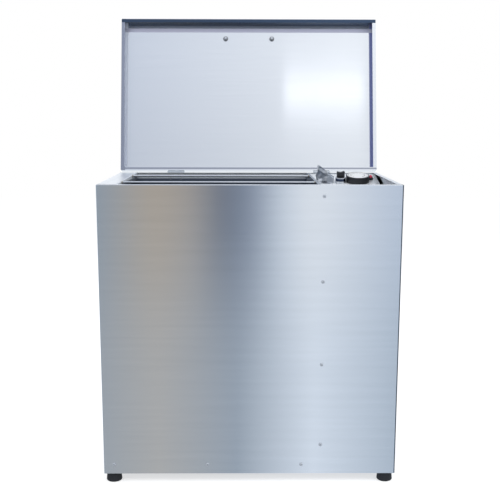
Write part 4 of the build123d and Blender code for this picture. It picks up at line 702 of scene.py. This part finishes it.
# Heater, sensor and blower, seen only from above or with the panels off: a heat-tinted sheath in brass
# bushes, a copper bulb on its capillary, an enamelled motor, and a moulded terminal block.
# The sheath is dull steel that heat has tinted from violet-grey to straw.
sheath, tree, shader = new_finish("heat_tinted_sheath", "#6A625B", 0.48, 1.0)
place = add(tree, "ShaderNodeTexCoord")
heat = add(tree, "ShaderNodeTexNoise", {"Scale": 0.03 / MM, "Detail": 4.0},
           {"Vector": place.outputs["Object"]})
heat_tone = add(tree, "ShaderNodeMix", {"data_type": "RGBA", 6: linear("#4F4B52"), 7: linear("#86755F")},
                {0: heat.outputs[0]})
tree.links.new(heat_tone.outputs[2], shader.inputs["Base Color"])
dress(sheath, "heater_element")

# Turned brass has the tool's fine rings, which change its shine from band to band.
brass, tree, shader = new_finish("turned_brass", "#B99A5B", 0.3, 1.0)
place = add(tree, "ShaderNodeTexCoord")
turning = add(tree, "ShaderNodeTexWave", {"Scale": 0.3 / MM, "Distortion": 1.0},
              {"Vector": place.outputs["Object"]})
turned_rough = add(tree, "ShaderNodeMapRange", {3: 0.22, 4: 0.38}, {0: turning.outputs["Fac"]})
tree.links.new(turned_rough.outputs[0], shader.inputs["Roughness"])
dress(brass, "heater_bushes")

# Drawn copper has darkened in patches where it tarnished.
copper, tree, shader = new_finish("drawn_copper", "#B5714F", 0.32, 1.0)
place = add(tree, "ShaderNodeTexCoord")
tarnish = add(tree, "ShaderNodeTexNoise", {"Scale": 0.12 / MM, "Detail": 4.0},
              {"Vector": place.outputs["Object"]})
copper_tone = add(tree, "ShaderNodeMix", {"data_type": "RGBA", 6: linear("#8F5A41"), 7: linear("#C98460")},
                  {0: tarnish.outputs[0]})
tree.links.new(copper_tone.outputs[2], shader.inputs["Base Color"])
dress(copper, "capillary_tube", "sensor_bulb")

# Stoved enamel has a gloss that its fine orange peel breaks up.
enamel, tree, shader = new_finish("black_stoved_enamel", "#202226", 0.35)
place = add(tree, "ShaderNodeTexCoord")
orange_peel = add(tree, "ShaderNodeTexNoise", {"Scale": 0.35 / MM, "Detail": 2.0},
                  {"Vector": place.outputs["Object"]})
enamel_skin = add(tree, "ShaderNodeBump", {"Strength": 0.2, "Distance": 0.1 * MM},
                  {"Height": orange_peel.outputs[0]})
tree.links.new(enamel_skin.outputs[0], shader.inputs["Normal"])
dress(enamel, "blower_motor")

# The moulded block is matt, and its cream varies a little as the powder set.
cream, tree, shader = new_finish("cream_moulded_block", "#D8CFB6", 0.5)
place = add(tree, "ShaderNodeTexCoord")
mould = add(tree, "ShaderNodeTexNoise", {"Scale": 0.2 / MM, "Detail": 3.0},
            {"Vector": place.outputs["Object"]})
cream_tone = add(tree, "ShaderNodeMix", {"data_type": "RGBA", 6: linear("#CBC1A6"), 7: linear("#E3DBC5")},
                 {0: mould.outputs[0]})
tree.links.new(cream_tone.outputs[2], shader.inputs["Base Color"])
dress(cream, "terminal_block")

# Studio: a pale floor, an even white world and three soft lamps. In front of the cabinet stand tall bands
# of shade and light, with a window high up, which only shiny surfaces show. It is stage, and no part of the
# object. The bands are laid out round the camera's mirror image behind the front panel.
mirrored_eye = Vector((-14.4 * MM, 1.553, 0.754))
near_bands = ((0.00, "#A6AEB6"), (0.24, "#BDBBB8"), (0.48, "#A6B0BB"), (0.72, "#E9F0F9"), (1.00, "#B8C4D1"))
far_bands = ((0.06, "#93A2B0"), (0.23, "#BEAB92"), (0.35, "#AEA59B"), (0.44, "#46536A"), (0.53, "#6A7890"),
             (0.63, "#E6EEF8"), (0.70, "#FFFFFF"), (0.98, "#C9D4E5"))
band_edge = 0.19


def studio_band(tree, across, drop, depth):
    """What stands in front: across / depth runs through the bands, which are the near ones low down, where
    drop / depth is above 0.24, and the far ones at eye level, where it is below 0.12."""
    slope = add(tree, "ShaderNodeMath", {"operation": "DIVIDE"}, {0: across, 1: depth})
    share = add(tree, "ShaderNodeMapRange", {"From Min": -band_edge, "From Max": band_edge},
                {0: slope.outputs[0]})
    fall = add(tree, "ShaderNodeMath", {"operation": "DIVIDE"}, {0: drop, 1: depth})
    near = add(tree, "ShaderNodeMapRange", {"From Min": 0.12, "From Max": 0.24}, {0: fall.outputs[0]})
    ramps = []
    for bands in (far_bands, near_bands):
        ramp = add(tree, "ShaderNodeValToRGB", {}, {0: share.outputs[0]})
        stops = ramp.color_ramp.elements
        while len(stops) < len(bands):
            stops.new(0.5)
        for stop, (position, colour) in zip(stops, bands):
            stop.position = position
            stop.color = linear(colour)
        ramps.append(ramp.outputs[0])
    bands = add(tree, "ShaderNodeMix", {"data_type": "RGBA"},
                {0: near.outputs[0], 6: ramps[0], 7: ramps[1]})
    beside = add(tree, "ShaderNodeMapRange", {1: 0.24, 2: 0.4}, {0: slope.outputs[0]})
    beyond = add(tree, "ShaderNodeMapRange", {1: 0.9, 2: 0.55}, {0: slope.outputs[0]})
    shade = add(tree, "ShaderNodeMath", {"operation": "MULTIPLY"},
                {0: beside.outputs[0], 1: beyond.outputs[0]})
    return add(tree, "ShaderNodeMix", {"data_type": "RGBA", 7: linear("#16203C")},
               {0: shade.outputs[0], 6: bands.outputs[2]})


floor_half = 6.0
floor_mesh = bpy.data.meshes.new("studio_floor")
floor_corners = [(-floor_half, -floor_half, 0), (floor_half, -floor_half, 0),
                 (floor_half, floor_half, 0), (-floor_half, floor_half, 0)]
floor_mesh.from_pydata(floor_corners, [], [(0, 1, 2, 3)])
floor_finish = bpy.data.materials.new("pale_studio_floor")
floor_finish.use_nodes = True
tree = floor_finish.node_tree
tree.nodes.clear()
rays = add(tree, "ShaderNodeLightPath")
place = add(tree, "ShaderNodeTexCoord")
from_eye = add(tree, "ShaderNodeVectorMath", {"operation": "SUBTRACT", 1: mirrored_eye},
               {0: place.outputs["Object"]})
apart = add(tree, "ShaderNodeSeparateXYZ", {}, {0: from_eye.outputs[0]})
depth = add(tree, "ShaderNodeMath", {"operation": "ABSOLUTE"}, {0: apart.outputs[1]})
eye_height = add(tree, "ShaderNodeMath", {"operation": "ABSOLUTE"}, {0: apart.outputs[2]})
floor_band = studio_band(tree, apart.outputs[0], eye_height.outputs[0], depth.outputs[0])
in_front = add(tree, "ShaderNodeMapRange", {1: 0.1 - mirrored_eye.y, 2: -0.2 - mirrored_eye.y},
               {0: apart.outputs[1]})
floor_tone = add(tree, "ShaderNodeMix", {"data_type": "RGBA", 6: linear("#E9EDF2")},
                 {0: in_front.outputs[0], 7: floor_band.outputs[2]})
floor_shine = add(tree, "ShaderNodeEmission", {"Strength": 1.08}, {"Color": floor_tone.outputs[2]})
pale = add(tree, "ShaderNodeBsdfDiffuse", {"Color": linear("#C4C4C4")})
glow = add(tree, "ShaderNodeEmission", {"Color": (1, 1, 1, 1), "Strength": 0.62})
lit_floor = add(tree, "ShaderNodeAddShader", {}, {0: pale.outputs[0], 1: glow.outputs[0]})
plain_floor = add(tree, "ShaderNodeMixShader", {},
                  {0: rays.outputs["Is Camera Ray"], 1: pale.outputs[0], 2: lit_floor.outputs[0]})
floor_seen = add(tree, "ShaderNodeMixShader", {},
                 {0: rays.outputs["Is Glossy Ray"], 1: plain_floor.outputs[0], 2: floor_shine.outputs[0]})
add(tree, "ShaderNodeOutputMaterial", {}, {0: floor_seen.outputs[0]})
floor_mesh.materials.append(floor_finish)
studio_floor = bpy.data.objects.new("studio_floor", floor_mesh)
scene.collection.objects.link(studio_floor)

world = bpy.data.worlds.new("soft_white_studio")
scene.world = world
world.use_nodes = True
tree = world.node_tree
tree.nodes.clear()
rays = add(tree, "ShaderNodeLightPath")
place = add(tree, "ShaderNodeTexCoord")
apart = add(tree, "ShaderNodeSeparateXYZ", {}, {0: place.outputs["Generated"]})
depth = add(tree, "ShaderNodeMath", {"operation": "ABSOLUTE"}, {0: apart.outputs[1]})
some_depth = add(tree, "ShaderNodeMath", {"operation": "MAXIMUM", 1: 0.01}, {0: depth.outputs[0]})
downward = add(tree, "ShaderNodeMath", {"operation": "MULTIPLY", 1: -1.0}, {0: apart.outputs[2]})
band = studio_band(tree, apart.outputs[0], downward.outputs[0], some_depth.outputs[0])
slope = add(tree, "ShaderNodeMath", {"operation": "DIVIDE"},
            {0: apart.outputs[0], 1: some_depth.outputs[0]})
rise = add(tree, "ShaderNodeMath", {"operation": "DIVIDE"}, {0: apart.outputs[2], 1: some_depth.outputs[0]})
high_up = add(tree, "ShaderNodeMapRange",
              {"From Min": 0.2, "From Max": 0.42, "interpolation_type": "SMOOTHSTEP"},
              {0: rise.outputs[0]})
sky_side = add(tree, "ShaderNodeMapRange", {"From Min": -0.16, "From Max": 0.13}, {0: slope.outputs[0]})
sky_tone = add(tree, "ShaderNodeMix", {"data_type": "RGBA", 6: linear("#CDD3E0"), 7: linear("#F6F8FC")},
               {0: sky_side.outputs[0]})
sky_lift = add(tree, "ShaderNodeMapRange", {"From Min": 0.44, "From Max": 0.6, 3: 0.88, 4: 1.0},
               {0: rise.outputs[0]})
lifted_sky = add(tree, "ShaderNodeMix", {"data_type": "RGBA", "blend_type": "MULTIPLY", 0: 1.0},
                 {6: sky_tone.outputs[2], 7: sky_lift.outputs[0]})
window = None
for source, edges in ((slope, (0.048, 0.056, 0.148, 0.156)), (rise, (0.512, 0.524, 0.550, 0.562))):
    for first, last in (edges[:2], edges[:1:-1]):
        side = add(tree, "ShaderNodeMapRange", {1: first, 2: last, "interpolation_type": "SMOOTHSTEP"},
                   {0: source.outputs[0]})
        window = side if window is None else add(tree, "ShaderNodeMath", {"operation": "MULTIPLY"},
                                                 {0: window.outputs[0], 1: side.outputs[0]})
window_lit = add(tree, "ShaderNodeMix", {"data_type": "RGBA", 7: (1.5, 1.5, 1.54, 1.0)},
                 {0: window.outputs[0], 6: lifted_sky.outputs[2]})
front_tone = add(tree, "ShaderNodeMix", {"data_type": "RGBA"},
                 {0: high_up.outputs[0], 6: band.outputs[2], 7: window_lit.outputs[2]})
back_side = add(tree, "ShaderNodeMapRange", {"From Min": -0.6, "From Max": 0.6}, {0: apart.outputs[0]})
back_tone = add(tree, "ShaderNodeMix", {"data_type": "RGBA", 6: linear("#FAFCFF"), 7: linear("#E6EBF3")},
                {0: back_side.outputs[0]})
behind = add(tree, "ShaderNodeMapRange",
             {"From Min": -0.15, "From Max": 0.05, "interpolation_type": "SMOOTHSTEP"},
             {0: apart.outputs[1]})
studio_tone = add(tree, "ShaderNodeMix", {"data_type": "RGBA"},
                  {0: behind.outputs[0], 6: front_tone.outputs[2], 7: back_tone.outputs[2]})
metal_sees = add(tree, "ShaderNodeBackground", {"Strength": 1.08}, {"Color": studio_tone.outputs[2]})
soft_light = add(tree, "ShaderNodeBackground", {"Color": linear("#F4F7FB"), "Strength": 0.75})
white = add(tree, "ShaderNodeBackground", {"Color": (1, 1, 1, 1), "Strength": 1.0})
without_camera = add(tree, "ShaderNodeMixShader", {},
                     {0: rays.outputs["Is Glossy Ray"], 1: soft_light.outputs[0], 2: metal_sees.outputs[0]})
seen = add(tree, "ShaderNodeMixShader", {},
           {0: rays.outputs["Is Camera Ray"], 1: without_camera.outputs[0], 2: white.outputs[0]})
add(tree, "ShaderNodeOutputWorld", {}, {0: seen.outputs[0]})

lamps = (("key_softbox", (-1.6, -2.2, 2.3), 1.5, 34.0), ("fill_softbox", (1.9, -1.4, 1.7), 1.3, 22.0),
         ("back_softbox", (0.3, 2.2, 2.2), 1.4, 20.0))
lamp_target = Vector((0, 0, 0.45))
for name, where, size, power in lamps:
    lamp = bpy.data.lights.new(name, "AREA")
    lamp.size = size
    lamp.energy = power
    holder = bpy.data.objects.new(name, lamp)
    holder.location = where
    holder.rotation_euler = (lamp_target - Vector(where)).to_track_quat("-Z", "Y").to_euler()
    holder.visible_glossy = False
    scene.collection.objects.link(holder)

# Camera: in front of the cabinet and a little above its rim, tipped down by 10.7 degrees, as the photograph
# was taken. Its focal length and the row of its optical axis are those worked out from the photograph, in
# its pixels.
camera_place = Vector((-14.4 * MM, -1912.8 * MM, 753.8 * MM))
tip_down, turn_right, lean = 0.18672, 0.0084, 0.00173
focal_pixels, image_side, axis_row = 890.03, 500, 280.21
forward = Vector((math.sin(turn_right) * math.cos(tip_down),
                  math.cos(turn_right) * math.cos(tip_down), -math.sin(tip_down)))
level_right = Vector((math.cos(turn_right), -math.sin(turn_right), 0))
level_up = level_right.cross(forward)
camera_right = math.cos(lean) * level_right + math.sin(lean) * level_up
camera_up = math.cos(lean) * level_up - math.sin(lean) * level_right
camera = bpy.data.cameras.new("front_camera")
camera.sensor_width = 36.0
camera.lens = focal_pixels / image_side * camera.sensor_width
camera.shift_y = (axis_row - image_side / 2) / image_side
camera_holder = bpy.data.objects.new("front_camera", camera)
camera_holder.matrix_world = Matrix.Translation(camera_place) @ Matrix(
    (camera_right, camera_up, -forward)).transposed().to_4x4()
scene.collection.objects.link(camera_holder)
scene.camera = camera_holder
scene.view_settings.view_transform = "Standard"
